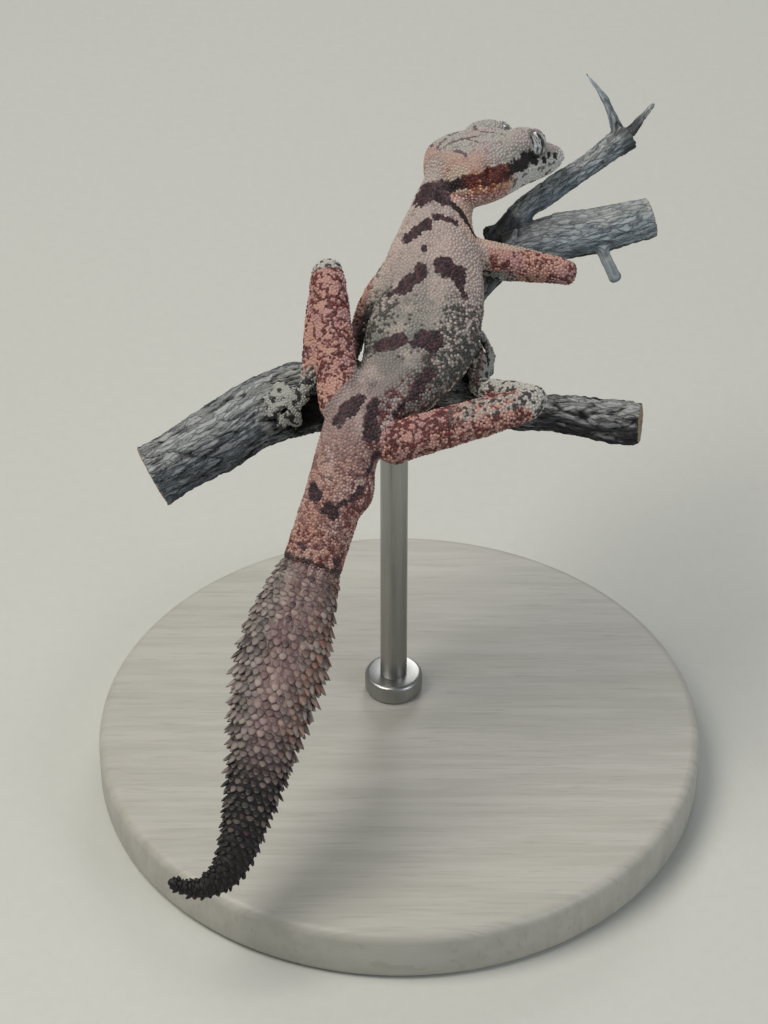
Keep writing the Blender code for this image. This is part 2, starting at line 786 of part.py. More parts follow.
clear_scene()
PARTS = make_collection("feather_tailed_gecko")
SCRATCH = make_collection("cutters")
MATERIALS = {name: make_material(name) for name in COLOURS}
BODY_TRACK = Track([(point, wide, high, tilt) for point, wide, high, tilt in BODY])
PERCH = perch_tracks()

make_head()
make_body(BODY_TRACK)
make_perch()
for limb_name in LIMBS:
    make_limb(limb_name)
make_stand()
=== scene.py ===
# %% [markdown]
# # A feather-tailed gecko on its thorn twig
#
# A life-size museum model of a small African gecko, gripping a sawn-off length of thorn
# branch on a wooden stand. This lesson dresses the plain solids of the model: one scaly skin
# over all the flesh, glassy eyes, grey weathered bark, limed ash and brushed steel.
#
# The solids are the frame. Every piece below is made in the same space, in metres, so that
# it lies where its solid lies.

# %% Load the frame and keep its box
import math
import random
from functools import partial
from types import SimpleNamespace

import bmesh
import bpy
import numpy as np
from mathutils import Matrix, Vector


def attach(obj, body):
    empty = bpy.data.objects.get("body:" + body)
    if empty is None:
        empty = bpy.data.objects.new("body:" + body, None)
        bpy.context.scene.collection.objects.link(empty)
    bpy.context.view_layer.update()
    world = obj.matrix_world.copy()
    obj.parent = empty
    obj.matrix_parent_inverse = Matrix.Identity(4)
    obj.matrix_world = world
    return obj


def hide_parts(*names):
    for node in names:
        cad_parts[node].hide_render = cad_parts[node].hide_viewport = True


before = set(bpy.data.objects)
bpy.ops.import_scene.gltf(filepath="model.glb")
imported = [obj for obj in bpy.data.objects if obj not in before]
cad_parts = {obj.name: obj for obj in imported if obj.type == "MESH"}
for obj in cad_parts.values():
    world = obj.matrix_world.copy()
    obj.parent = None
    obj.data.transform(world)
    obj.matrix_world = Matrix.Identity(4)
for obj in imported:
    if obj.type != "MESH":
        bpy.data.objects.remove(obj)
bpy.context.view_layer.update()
print("solids:", len(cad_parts), "nodes")

# %% [markdown]
# ## Small tools
#
# Sizes are easier to read in millimetres, measured from the middle of the pelvis, where the
# animal was measured from as well. One helper turns them into the frame's metres. Colours are
# picked as the hex values that a paint program shows, so one function makes them linear.

# %% Units, colours and pieces
MM = 0.001
PELVIS = Vector((-4.0, -3.0, 41.0))


def to_world(places):
    return (np.asarray(places, dtype=float) + np.array(PELVIS)) * MM


def paint(hex_value):
    parts = [int(hex_value[i:i + 2], 16) / 255 for i in (1, 3, 5)]
    linear = [c / 12.92 if c <= 0.04045 else ((c + 0.055) / 1.055) ** 2.4 for c in parts]
    return (*linear, 1.0)


def new_piece(name, verts, faces, world=True):
    mesh = bpy.data.meshes.new(name)
    mesh.from_pydata([tuple(v) for v in (to_world(verts) if world else verts)], [], faces)
    mesh.update()
    item = bpy.data.objects.new(name, mesh)
    bpy.context.scene.collection.objects.link(item)
    return item


def bake_modifiers(item):
    """Turn what the modifiers show into the piece's own mesh."""
    graph = bpy.context.evaluated_depsgraph_get()
    mesh = bpy.data.meshes.new_from_object(item.evaluated_get(graph))
    item.modifiers.clear()
    item.data = mesh
    mesh.name = item.name


print("tools ready")

# %% [markdown]
# ## One function for nodes
#
# A material is a chain of nodes, and so is the tree that scatters the scales later on. One
# small function adds a node, sets it and joins it to the others. The table gives plain words
# to the nodes that paint needs again and again, so that a line of paint reads as a sentence.

# %% Nodes
RECIPES = {               # node type, what a call's values set in turn, fixed settings, output
    "field": ("ShaderNodeAttribute", ("attribute_name",), {}, "Fac"),
    "places": ("ShaderNodeAttribute", ("attribute_name",), {}, "Vector"),
    "object": ("ShaderNodeTexCoord", (), {}, "Object"),
    "part": ("ShaderNodeSeparateXYZ", ("Vector",), {}, "X"),
    "join": ("ShaderNodeCombineXYZ", (0, 1, 2), {}, 0),
    "stretch": ("ShaderNodeMapping", ("Vector", "Scale"), {}, 0),
    "mix": ("ShaderNodeMix", (0, 6, 7), {"data_type": "RGBA"}, 2),
    "ramp": ("ShaderNodeValToRGB", ("Fac",), {}, "Color"),
    "range": ("ShaderNodeMapRange", (0, 3, 4), {}, 0),
    "fade": ("ShaderNodeMapRange", (0, 1, 2), {"interpolation_type": "SMOOTHSTEP"}, 0),
    "noise": ("ShaderNodeTexNoise", ("Vector", "Scale", "Detail", "Roughness"), {}, "Fac"),
    "cells": ("ShaderNodeTexVoronoi", ("Vector", "Scale"), {}, "Distance"),
    "rims": ("ShaderNodeTexVoronoi", ("Vector", "Scale"), {"feature": "DISTANCE_TO_EDGE"}, "Distance"),
    "bump": ("ShaderNodeBump", ("Strength", "Distance", "Height"), {}, "Normal"),
}
for word, operation in (("times", "MULTIPLY"), ("plus", "ADD"), ("minus", "SUBTRACT"),
                        ("size", "ABSOLUTE"), ("power", "POWER"), ("sine", "SINE")):
    RECIPES[word] = ("ShaderNodeMath", (0, 1), {"operation": operation}, 0)


def set_node(node, values):
    """Set a node's properties, which start in lower case, and set or link its inputs."""
    for key, value in values.items():
        if isinstance(value, str) and value.startswith("#"):
            value = paint(value)
        if isinstance(key, str) and key[0].islower():
            setattr(node, key, value)
        elif isinstance(value, bpy.types.NodeSocket):
            node.id_data.links.new(value, node.inputs[key])
        else:
            node.inputs[key].default_value = value


def add_node(tree, kind, *values):
    """Add a node by its recipe, or by its type with one dict of values; gives its output."""
    kind, keys, fixed, output = RECIPES.get(kind, (kind, None, {}, 0))
    node = tree.nodes.new(kind)
    set_node(node, fixed)
    set_node(node, dict(zip(keys, values)) if keys is not None else values[0] if values else {})
    return node.outputs[output] if node.outputs else None


def new_material(name):
    """A new material, the function that adds nodes to it, and its shader."""
    material = bpy.data.materials.new(name)
    material.use_nodes = True
    tree = material.node_tree
    return material, partial(add_node, tree), tree.nodes["Principled BSDF"]


print("node recipes:", len(RECIPES))

# %% [markdown]
# ## The view
#
# The photo looks down on the animal from behind its tail, about 38 degrees above the level
# and from about 25 centimetres. A camera's lens follows from the height that the picture
# spans at that distance. The stand is new, so it simply shows where the view reaches it.

# %% Camera
VIEW_HEIGHT = math.radians(38)
VIEW_DISTANCE = 250.0
PICTURE = (768, 1024)
PIXEL = 0.082            # millimetres that one pixel spans at the pelvis
PELVIS_PIXEL = (352, 418)
SENSOR = 36.0

right = Vector((1, 0, 0))
upward = Vector((0, math.sin(VIEW_HEIGHT), math.cos(VIEW_HEIGHT)))
backward = right.cross(upward)
middle = PELVIS + right * ((PICTURE[0] / 2 - PELVIS_PIXEL[0]) * PIXEL)
middle = middle + upward * ((PELVIS_PIXEL[1] - PICTURE[1] / 2) * PIXEL)
lens = bpy.data.cameras.new("camera")
lens.sensor_fit = "VERTICAL"
lens.sensor_height = SENSOR
lens.lens = SENSOR * VIEW_DISTANCE / (PICTURE[1] * PIXEL)
lens.clip_start = 0.01
camera = bpy.data.objects.new("camera", lens)
camera.matrix_world = Matrix.Translation((middle + backward * VIEW_DISTANCE) * MM)
camera.matrix_world = camera.matrix_world @ Matrix((right, upward, backward)).transposed().to_4x4()
bpy.context.scene.collection.objects.link(camera)
bpy.context.scene.camera = camera
print("lens", round(lens.lens, 1), "mm")

# %% [markdown]
# ## Light and floor
#
# The animal was photographed in the soft light of an overcast day. A wide softbox above and
# to the left gives the form, a weaker one opposite lifts the shadows, a third from behind
# draws the rims, and a pale world fills the rest. The floor is plain pale card.

# %% Light
AIM = Vector((0, 0, 0.04))


def softbox(name, place, size, watts, tint):
    light = bpy.data.lights.new(name, "AREA")
    light.shape = "DISK"
    light.size = size
    light.energy = watts
    light.color = paint(tint)[:3]
    item = bpy.data.objects.new(name, light)
    item.location = place
    item.rotation_euler = (AIM - Vector(place)).to_track_quat("-Z", "Y").to_euler()
    bpy.context.scene.collection.objects.link(item)


softbox("key softbox", (-0.16, -0.06, 0.34), 0.22, 1.05, "#fffaf2")
softbox("fill softbox", (0.28, -0.20, 0.20), 0.20, 0.34, "#eef4ff")
softbox("rim softbox", (0.06, 0.34, 0.22), 0.16, 0.30, "#ffffff")
world = bpy.data.worlds.new("overcast")
world.use_nodes = True
set_node(world.node_tree.nodes["Background"], {"Color": "#e9ecec", "Strength": 0.33})
bpy.context.scene.world = world
bpy.context.scene.view_settings.view_transform = "Standard"
print("light set")

# %% Floor
FLOOR_HALF = 1.2         # metres
floor_corners = [(-FLOOR_HALF, -FLOOR_HALF, 0), (FLOOR_HALF, -FLOOR_HALF, 0),
                 (FLOOR_HALF, FLOOR_HALF, 0), (-FLOOR_HALF, FLOOR_HALF, 0)]
floor = new_piece("floor", floor_corners, [(0, 1, 2, 3)], world=False)
card, add, shader = new_material("pale card")
# Card is matt, with a fibre of about a millimetre that hardly shows.
fibre = add("noise", add("object"), 900.0, 4.0)
set_node(shader, {"Base Color": add("mix", fibre, "#bdbeb8", "#c3c4be"), "Roughness": 0.9})
floor.data.materials.append(card)
print("floor set")

# %% [markdown]
# ## Lines through the animal
#
# A lizard is a bundle of tapering tubes, so its measures are kept as stations along a line:
# a point on the axis and the half sizes there. The class below draws one smooth curve through
# the stations, and gives at any length the point, the sizes and the side and back directions.

# %% A smooth line of stations
class Track:
    def __init__(self, stations):
        self.rows = np.array([[*point, *sizes] for point, *sizes in stations], dtype=float)
        steps = np.linalg.norm(np.diff(self.rows[:, :3], axis=0), axis=1)
        self.knots = np.concatenate([[0.0], np.cumsum(steps)])
        self.length = self.knots[-1]

    def at(self, s):
        """Rows at an array of lengths, straight on past both ends."""
        s = np.atleast_1d(np.asarray(s, dtype=float))
        last = len(self.knots) - 2
        i = np.clip(np.searchsorted(self.knots, s, side="right") - 1, 0, last)
        low = np.maximum(np.arange(last + 2) - 1, 0)
        high = np.minimum(np.arange(last + 2) + 1, last + 1)
        slopes = (self.rows[high] - self.rows[low]) / (self.knots[high] - self.knots[low])[:, None]
        width = (self.knots[i + 1] - self.knots[i])[:, None]
        u = (s - self.knots[i])[:, None] / width
        v = np.clip(u, 0, 1)
        rows = (2 * v**3 - 3 * v**2 + 1) * self.rows[i] + (v**3 - 2 * v**2 + v) * slopes[i] * width
        rows = rows + (3 * v**2 - 2 * v**3) * self.rows[i + 1] + (v**3 - v**2) * slopes[i + 1] * width
        past = (u - v) * width
        near = np.where(u < 0, slopes[i], slopes[i + 1])
        rows[:, :3] += (past * near)[:, :3]
        return rows

    def station(self, index):
        whole = min(int(index), len(self.knots) - 2)
        return self.knots[whole] + (index - whole) * (self.knots[whole + 1] - self.knots[whole])

    def frames(self, s, up=None):
        """Points, sizes, tangents, sides and backs at an array of lengths."""
        rows = self.at(s)
        ahead = self.at(np.atleast_1d(s) + 0.02)[:, :3] - self.at(np.atleast_1d(s) - 0.02)[:, :3]
        tangent = ahead / np.linalg.norm(ahead, axis=1, keepdims=True)
        if up is None:
            tilt = np.radians(rows[:, -1])
            up = np.stack([0 * tilt, -np.sin(tilt), np.cos(tilt)], axis=1)
        side = np.cross(tangent, np.broadcast_to(up, tangent.shape))
        side /= np.linalg.norm(side, axis=1, keepdims=True)
        return rows[:, :3], rows[:, 3:], tangent, side, np.cross(side, tangent)


BODY = Track((            # point, half width, half height, degrees that the back leans to the viewer
    ((-15.2, -23.4, -29.9), 0.35, 0.30, 60),
    ((-12.7, -23.7, -30.5), 0.75, 0.65, 60),
    ((-10.3, -22.9, -29.4), 1.25, 1.00, 56),
    ((-9.0, -20.9, -26.8), 1.70, 1.30, 52),
    ((-7.9, -18.2, -23.3), 2.20, 1.60, 52),
    ((-6.9, -15.4, -19.7), 2.90, 1.95, 52),
    ((-6.1, -13.2, -16.9), 3.45, 2.20, 52),
    ((-5.3, -11.2, -14.3), 3.45, 2.25, 52),
    ((-4.3, -9.2, -11.7), 3.00, 2.15, 52),
    ((-3.3, -7.5, -9.6), 2.50, 2.00, 52),
    ((-2.1, -5.2, -6.6), 2.40, 2.05, 50),
    ((-0.7, -2.9, -2.9), 2.50, 2.15, 42),
    ((0.3, -0.5, -0.6), 2.55, 2.25, 28),
    ((1.8, 2.3, -0.2), 2.80, 2.30, 18),
    ((4.0, 4.9, 0.5), 3.75, 2.50, 15),
    ((5.6, 8.2, 1.6), 4.65, 2.70, 15),
    ((6.7, 13.0, 3.4), 4.35, 2.60, 15),
    ((6.95, 16.6, 5.0), 3.85, 2.45, 16),
    ((7.5, 20.2, 6.8), 2.70, 2.10, 20),
    ((8.6, 22.6, 8.4), 2.25, 1.95, 24),
    ((10.6, 24.4, 8.9), 1.80, 1.60, 24),
))
VENT = BODY.station(11.45)
BREAK = BODY.station(9.0)
NAPE = BODY.station(18.0)
print("from vent to skull", round(BODY.length - VENT, 1), "mm, tail", round(VENT, 1), "mm")


# %% [markdown]
# ## The head's measures
#
# The head is turned, dipped and rolled on the neck, so it has axes of its own: forward,
# left and up, counted from the snout. All that sits on it, such as the eyes, the nostrils and
# the line of the mouth, is placed along these, and stays right when the head is turned.

# %% Head axes and sections
HEAD_LENGTH = 12.5
HEADING, DIP, ROLL = (math.radians(v) for v in (61, 9, 20))
SNOUT = Vector((18.0, 28.2, 7.9))
HEAD_ROWS = Track((       # point ahead of the skull's back, half width, top, underside
    ((0.2, 0, 0), 2.5, 2.0, -1.9),
    ((1.0, 0, 0), 3.8, 2.5, -2.9),
    ((2.4, 0, 0), 4.55, 2.9, -3.2),
    ((4.2, 0, 0), 4.5, 3.1, -3.0),
    ((6.0, 0, 0), 4.0, 3.1, -2.55),
    ((7.8, 0, 0), 3.35, 2.7, -2.05),
    ((9.5, 0, 0), 2.65, 2.0, -1.75),
    ((10.9, 0, 0), 2.0, 1.4, -1.45),
    ((11.9, 0, 0), 1.35, 0.95, -1.05),
))
LIP_LEVEL = -0.25
LIP_STEP = 0.26          # how far the lower lip stands in under the upper one
EYE_RADIUS = 1.28
EYE_PLACE = (-4.45, 2.5, 1.7)
BROW_PLACE = (-5.8, 2.75, 2.15)
BROW_SIZE = (2.15, 1.45, 1.25)
NOSTRIL_PLACE = (-0.95, 0.85, 0.55)
EAR_PLACE = (-10.1, 3.95, 0.35)

flat = math.cos(DIP)
head_forward = Vector((math.sin(HEADING) * flat, math.cos(HEADING) * flat, -math.sin(DIP)))
level = Vector((-math.cos(HEADING), math.sin(HEADING), 0))
head_left = level * math.cos(ROLL) - head_forward.cross(level) * math.sin(ROLL)
head_up = head_forward.cross(head_left)
HEAD_AXES = np.array([head_forward, head_left, head_up])


def from_head(places):
    return np.array(SNOUT) + np.asarray(places, dtype=float) @ HEAD_AXES


def to_head(places):
    return (np.asarray(places) - np.array(SNOUT)) @ HEAD_AXES.T


def smoothstep(low, high, x):
    t = np.clip((x - low) / (high - low), 0, 1)
    return t * t * (3 - 2 * t)


print("head looks", round(math.degrees(HEADING)), "degrees to the right of straight on")

# %% [markdown]
# ## One skin
#
# A real animal has one skin, with no seam where a leg leaves the body. It could be pulled
# together by Boolean unions, but those leave sharp creases. Here each part is first a closed
# tube of its own, then all of them are melted into one surface of small even squares by the
# voxel remesh, and the creases are relaxed. The closed tubes are made by one function.

# %% Tubes of flesh
CAP_TURNS = np.radians([12, 26, 40, 54, 68, 80])     # rings that round off a tube's end


def circle(sides, square=2.0):
    """Cosines and sines round a ring; a square above 2 makes the ring boxier."""
    turn = np.linspace(0, 2 * np.pi, sides, endpoint=False)
    c, s = np.cos(turn), np.sin(turn)
    return np.sign(c) * np.abs(c) ** (2 / square), np.sign(s) * np.abs(s) ** (2 / square)


def oval(centre, side, up, wide, tall, c, s):
    """A ring of points round a centre, wide along its side and tall along its up."""
    return centre + side * (wide * c)[:, None] + up * (tall * s)[:, None]


def tube(rings, first, last):
    """A closed tube through rings of points, ended by a point at each end."""
    sides = len(rings[0])
    count = len(rings)
    verts = np.vstack([np.vstack(rings), [first], [last]])
    faces = []
    for k in range(sides):
        n = (k + 1) % sides
        for r in range(count - 1):
            a = r * sides
            faces.append((a + k, a + n, a + sides + n, a + sides + k))
        faces.append((n, k, count * sides))
        end = (count - 1) * sides
        faces.append((end + k, end + n, count * sides + 1))
    return verts, faces


def rounded_tube(track, start, end, sides=32, step=0.3, square=2.15, up=None, ends=(1.0, 1.0)):
    """A length of a track whose ends are rounded off inside it."""
    caps = [min(track.at(s)[0][3:5]) * share for s, share in zip((start, end), ends)]
    low, high = start + caps[0], end - caps[1]
    body = np.linspace(low, high, max(2, int((high - low) / step)))
    first = start + caps[0] * (1 - np.cos(CAP_TURNS))
    last = (end - caps[1] * (1 - np.cos(CAP_TURNS)))[::-1]
    scales = np.concatenate([np.sin(CAP_TURNS), np.ones(len(body)), np.sin(CAP_TURNS)[::-1]])
    points, sizes, _, side, back = track.frames(np.concatenate([first, body, last]), up)
    c, s = circle(sides, square)
    rings = []
    for k, scale in enumerate(scales):
        rings.append(oval(points[k], side[k], back[k], sizes[k][0] * scale, sizes[k][1] * scale, c, s))
    return tube(rings, track.at(start)[0][:3], track.at(end)[0][:3])


def round_track(points, radii):
    return Track([(point, radius, radius, 0) for point, radius in zip(points, radii)])


def capsule(points, radii, sides=20):
    track = round_track(points, radii)
    return rounded_tube(track, 0, track.length, sides, 0.25, 2.0)


def egg(centre, sizes, axes=((1, 0, 0), (0, 1, 0), (0, 0, 1))):
    centre = np.array(centre)
    axes = np.array(axes) * np.array(sizes)[:, None]
    c, s = circle(24)
    rings = []
    for turn in np.radians(np.arange(8, 180, 12)):
        ring = np.stack([np.full(24, -np.cos(turn)), c * np.sin(turn), s * np.sin(turn)], axis=1)
        rings.append(centre + ring @ axes)
    return tube(rings, centre - axes[0], centre + axes[0])


flesh = {"trunk": [rounded_tube(BODY, 0.0, BODY.length, 56)]}
print("trunk tube:", len(flesh["trunk"][0][0]), "points")

# %% [markdown]
# The skull is a loft too, but its lower half is drawn in a little under the upper lip, so
# that the mouth shows as a real edge. The step fades out behind the corner of the mouth. Two
# bulges over the eyes give the brows, and two on the trunk the hip and the tail's swelling.

# %% Skull, brows, hip and the swelling behind the vent
MOUTH_CORNER = -8.6
HEAD_SQUARE = 2.3
SKULL_FRONT, SKULL_BACK = 11.9, 0.2      # where the sections stop and the rounding starts


def skull():
    ends = ([-0.22, -0.1, 0.05], [SKULL_FRONT, 12.1, 12.28, 12.42])
    c, s = circle(56, HEAD_SQUARE)
    rings = []
    for a in np.concatenate([ends[0], np.arange(SKULL_BACK, SKULL_FRONT, 0.25), ends[1]]):
        wide, top, under = HEAD_ROWS.at(np.clip(a, SKULL_BACK, SKULL_FRONT) - 0.2)[0][3:6]
        close = math.sqrt(max(0.0, 1 - max(0.0, (a - SKULL_FRONT) / 0.6) ** 2))
        close *= math.sqrt(max(0.0, 1 - max(0.0, (SKULL_BACK - a) / 0.5) ** 2))
        middle_height = (top + under) / 2
        rise = middle_height + (top - under) / 2 * close * s
        step = LIP_STEP * smoothstep(MOUTH_CORNER - 1.4, MOUTH_CORNER + 0.4, a - HEAD_LENGTH)
        inset = step * smoothstep(LIP_LEVEL + 0.02, LIP_LEVEL - 0.22, rise) * smoothstep(-2.3, -1.2, rise)
        across = (wide * close - inset) * c
        rings.append(from_head(np.stack([np.full_like(c, a - HEAD_LENGTH), across, rise], axis=1)))
    return tube(rings, from_head((-HEAD_LENGTH - 0.28, 0, 0.0)), from_head((0, 0, -0.05)))


def mirrored(place, mirror):
    """A place on the head in the room; mirror is 1 for the left side and -1 for the right."""
    return from_head((place[0], place[1] * mirror, place[2]))


flesh["head"] = [skull()]
for mirror in (1, -1):
    flesh["head"].append(egg(mirrored(BROW_PLACE, mirror), BROW_SIZE, HEAD_AXES))
SWELLING = BODY.station(10.65)
HIP = (2.4, -1.7, -0.6)     # muscle that rounds off the right hip
point, _, tangent, side, back = BODY.frames(SWELLING)
flesh["trunk"].append(egg(point[0] + side[0] * 1.55, (2.3, 1.45, 1.6), (tangent[0], side[0], back[0])))
flesh["trunk"].append(egg(HIP, (2.0, 1.25, 1.25)))
print("head, hip and swelling:", len(flesh["head"]) + 2, "closed forms")

# %% [markdown]
# ## The perch's line, for the feet to hold
#
# The toes wrap round the bark, so the branch's own line comes before the feet. A place on the
# bark is given by how far along the branch it is, how far round from straight up, and how
# high above the bark.

# %% Perch tracks
PERCH_UP = np.array((0.1, -0.2, 0.97))
PERCH = {
    "lower": round_track(         # points along it, then the radius at each
        ((-17.0, 1.4, -7.2), (-11.8, 3.2, -4.9), (-8.4, 5.1, -3.6), (-4.6, 6.7, -2.9), (-0.3, 7.4, -3.7),
         (6.5, 7.7, -4.1), (12.5, 7.4, -4.4), (16.8, 6.7, -4.5), (22.0, 5.9, -4.7), (24.6, 5.4, -4.6)),
        (2.75, 2.85, 2.85, 3.15, 2.60, 2.30, 1.75, 1.60, 1.90, 1.70)),
    "fork": round_track(
        ((5.8, 7.7, -4.6), (9.3, 11.0, -2.6), (8.7, 14.9, -1.1), (10.5, 18.6, 0.7), (12.6, 21.6, 2.0)),
        (1.9, 1.8, 1.45, 1.55, 1.85)),
    "bough": round_track(
        ((12.6, 21.6, 2.0), (16.1, 22.9, 2.3), (20.7, 23.8, 2.7), (24.0, 24.6, 3.2), (26.4, 25.2, 3.7)),
        (1.85, 1.95, 2.05, 1.9, 1.75)),
    "twig": round_track(
        ((12.3, 21.9, 2.6), (14.6, 25.0, 4.0), (17.4, 27.7, 4.7), (20.9, 30.0, 6.0), (24.4, 32.2, 7.5)),
        (1.25, 1.15, 1.10, 1.10, 1.30)),
}


def bark_point(perch, along, turn, lift):
    points, sizes, _, side, back = PERCH[perch].frames(along, PERCH_UP)
    angle = np.radians(np.atleast_1d(turn))[:, None]
    out = back * np.cos(angle) - side * np.sin(angle)
    return points + out * (sizes[:, :1] * 1.06 + np.atleast_1d(lift)[:, None])


print("perch:", {name: round(track.length, 1) for name, track in PERCH.items()})

# %% [markdown]
# ## Limbs and feet
#
# Each limb is two tapered capsules and a link round the bend, which gives the knee and the
# elbow their soft corner. A foot is a flat palm with five slender toes. This gecko's toes
# end in a pair of leaf-shaped pads, so each toe narrows and then widens again.

# %% Limbs
LIMBS = {                 # shoulder or hip, then elbow or knee
    "arm_right": ((8.4, 17.7, 5.1), (19.3, 16.95, 2.9)),
    "arm_left": ((4.6, 16.9, 4.8), (0.9, 12.4, 1.8)),
    "leg_right": ((1.8, -2.0, -1.6), (15.6, 0.65, 1.3)),
    "leg_left": ((-0.9, 0.0, -0.4), (-2.15, 12.35, 7.45)),
}
UPPER_RADII = {"arm": (1.28, 1.22, 1.05), "leg": (1.75, 1.62, 1.24)}
LOWER_RADII = {"arm": (0.85, 0.72, 0.58), "leg": (1.15, 1.02, 0.72)}
FEET = {                  # perch, millimetres along it, degrees round it, heading, size
    "arm_right": ("fork", 14.7, -18, 60, 0.80),
    "arm_left": ("lower", 18.1, 28, 75, 0.80),
    "leg_right": ("fork", 4.4, -52, 8, 1.1),
    "leg_left": ("lower", 13.6, -36, 190, 0.95),
}
TOE_SPREAD = (-60, -30, -2, 28, 58)
TOE_LENGTH = (2.3, 2.9, 3.2, 3.1, 2.7)
PALM = (1.15, 0.95, 0.55)
HEEL = 0.75
TOUCH = 0.16             # room between sole and bark, taken up by the pads' soft scales
TOE = Track((             # point at the share of the length, half width, half thickness, rise
    ((0.00, 0, 0), 0.38, 0.34, 0.10),
    ((0.30, 0, 0), 0.30, 0.30, 0.30),
    ((0.58, 0, 0), 0.30, 0.28, 0.20),
    ((0.74, 0, 0), 0.56, 0.26, 0.05),
    ((0.90, 0, 0), 0.58, 0.24, 0.00),
    ((1.00, 0, 0), 0.34, 0.18, 0.00),
))


def toe_places(foot, heading, reach, lift):
    """Points along a toe that wraps round the bark."""
    perch, along, turn, _, _ = foot
    reach = np.atleast_1d(reach)
    radius = PERCH[perch].at(along)[0][3] + 0.4
    swing = np.degrees(reach * math.sin(math.radians(heading)) / radius)
    ahead = along + reach * math.cos(math.radians(heading))
    rows = zip(ahead, turn + swing, np.atleast_1d(lift))
    places = np.vstack([bark_point(perch, *row) for row in rows])
    out = places - PERCH[perch].at(ahead)[:, :3]
    return places, out / np.linalg.norm(out, axis=1, keepdims=True)


def toe_rings(foot, heading, length):
    share = np.linspace(0, 1, 15)
    rows = TOE.at(share)[:, 3:6]
    lift = TOUCH + rows[:, 1] + rows[:, 2]
    places, out = toe_places(foot, heading, share * length, lift)
    along = np.gradient(places, axis=0)
    along /= np.linalg.norm(along, axis=1, keepdims=True)
    side = np.cross(along, out)
    side /= np.linalg.norm(side, axis=1, keepdims=True)
    up = np.cross(side, along)
    c, s = circle(14)
    rings = [oval(places[k], side[k], up[k], rows[k][0], rows[k][1], c, s) for k in range(len(share))]
    return rings, places, along, up


def foot_forms(name):
    foot = FEET[name]
    perch, along, turn, heading, size = foot
    centre = bark_point(perch, along, turn, TOUCH + PALM[2] * size)[0]
    ahead = bark_point(perch, along + 0.5, turn, TOUCH + PALM[2] * size)[0] - centre
    ahead /= np.linalg.norm(ahead)
    out = centre - PERCH[perch].at(along)[0][:3]
    side = np.cross(out, ahead)
    side /= np.linalg.norm(side)
    forms = [egg(centre, np.array(PALM) * size, (ahead, side, np.cross(ahead, side)))]
    tips = []
    for spread, length in zip(TOE_SPREAD, TOE_LENGTH):
        rings, places, direction, up = toe_rings(foot, heading + spread, length * size)
        forms.append(tube(rings, places[0] - direction[0] * 0.2, places[-1] + direction[-1] * 0.2))
        tips.append((places[-1], direction[-1], up[-1]))
    return forms, tips, centre


def ankle(name):
    foot = FEET[name]
    heading, size = foot[3:]
    return toe_places(foot, heading, -HEEL * size, TOUCH + PALM[2] * size * 1.3)[0][0]


toe_tips = []
limb_lines = {}
for name, (root, bend) in LIMBS.items():
    kind = name[:3]
    root, bend, end = np.array(root), np.array(bend), ankle(name)
    upper, lower = UPPER_RADII[kind], LOWER_RADII[kind]
    forms, tips, palm = foot_forms(name)
    down = (bend - root) / np.linalg.norm(bend - root)
    out = (end - bend) / np.linalg.norm(end - bend)
    knee = bend - down * upper[2]
    shank = bend + out * lower[0]
    flesh["upper_" + name] = [capsule((root, (root + bend) / 2, bend), upper)]
    flesh["lower_" + name] = [capsule((bend, (bend + end) / 2, end), lower)]
    fold = bend - (down - out) * 0.35 * upper[2]
    flesh["lower_" + name].append(capsule((knee, fold, shank), (upper[2] * 0.9,) * 3))
    wrist = end - out * lower[2]
    flesh["foot_" + name] = forms + [capsule((wrist, (wrist + palm) / 2, palm), (lower[2], 0.55, 0.5))]
    toe_tips += tips
    limb_lines[name] = (root, bend, end, palm)
print("limbs:", len(LIMBS), "with", len(toe_tips), "toes")

# %% [markdown]
# ## Melting the forms into one skin
#
# The voxel remesh turns the heap of closed tubes into one watertight surface of squares, a
# sixth of a millimetre wide, fine enough for a toe pad. Where a leg leaves the body it still
# shows a sharp valley, which real skin bridges. So the points are relaxed a little all over,
# and more near the shoulders, hips, knees and elbows.

# %% One surface
VOXEL = 0.172


def join_forms(forms):
    verts, faces = [], []
    start = 0
    for points, polygons in forms:
        verts.append(points)
        faces += [tuple(v + start for v in polygon) for polygon in polygons]
        start += len(points)
    return np.vstack(verts), faces


def melt(name, forms, voxel):
    """One surface from many closed forms; only the outer shell is kept."""
    item = new_piece(name, *join_forms(forms), world=False)
    remesh = item.modifiers.new("melt", "REMESH")
    remesh.mode = "VOXEL"
    remesh.voxel_size = voxel
    bake_modifiers(item)
    work = bmesh.new()
    work.from_mesh(item.data)
    work.verts.ensure_lookup_table()
    seen = np.zeros(len(work.verts), dtype=bool)
    shells = []
    for first in work.verts:
        if seen[first.index]:
            continue
        shell, stack = [], [first]
        seen[first.index] = True
        while stack:
            vert = stack.pop()
            shell.append(vert)
            for edge in vert.link_edges:
                other = edge.other_vert(vert)
                if not seen[other.index]:
                    seen[other.index] = True
                    stack.append(other)
        shells.append(shell)
    shells.sort(key=len)
    for shell in shells[:-1]:
        bmesh.ops.delete(work, geom=shell, context="VERTS")
    work.to_mesh(item.data)
    work.free()
    return item


def read(items, key, width=1, kind=np.float32):
    """One number, or a row of them, from each of a mesh's points, edges, corners or faces."""
    values = np.empty(len(items) * width, dtype=kind)
    items.foreach_get(key, values)
    return values.reshape(-1, width) if width > 1 else values


def get_points(item):
    return read(item.data.vertices, "co", 3).astype(float)


def set_points(item, points):
    item.data.vertices.foreach_set("co", np.asarray(points, dtype=np.float32).ravel())
    item.data.update()


def get_normals(item):
    return read(item.data.vertices, "normal", 3).astype(float)


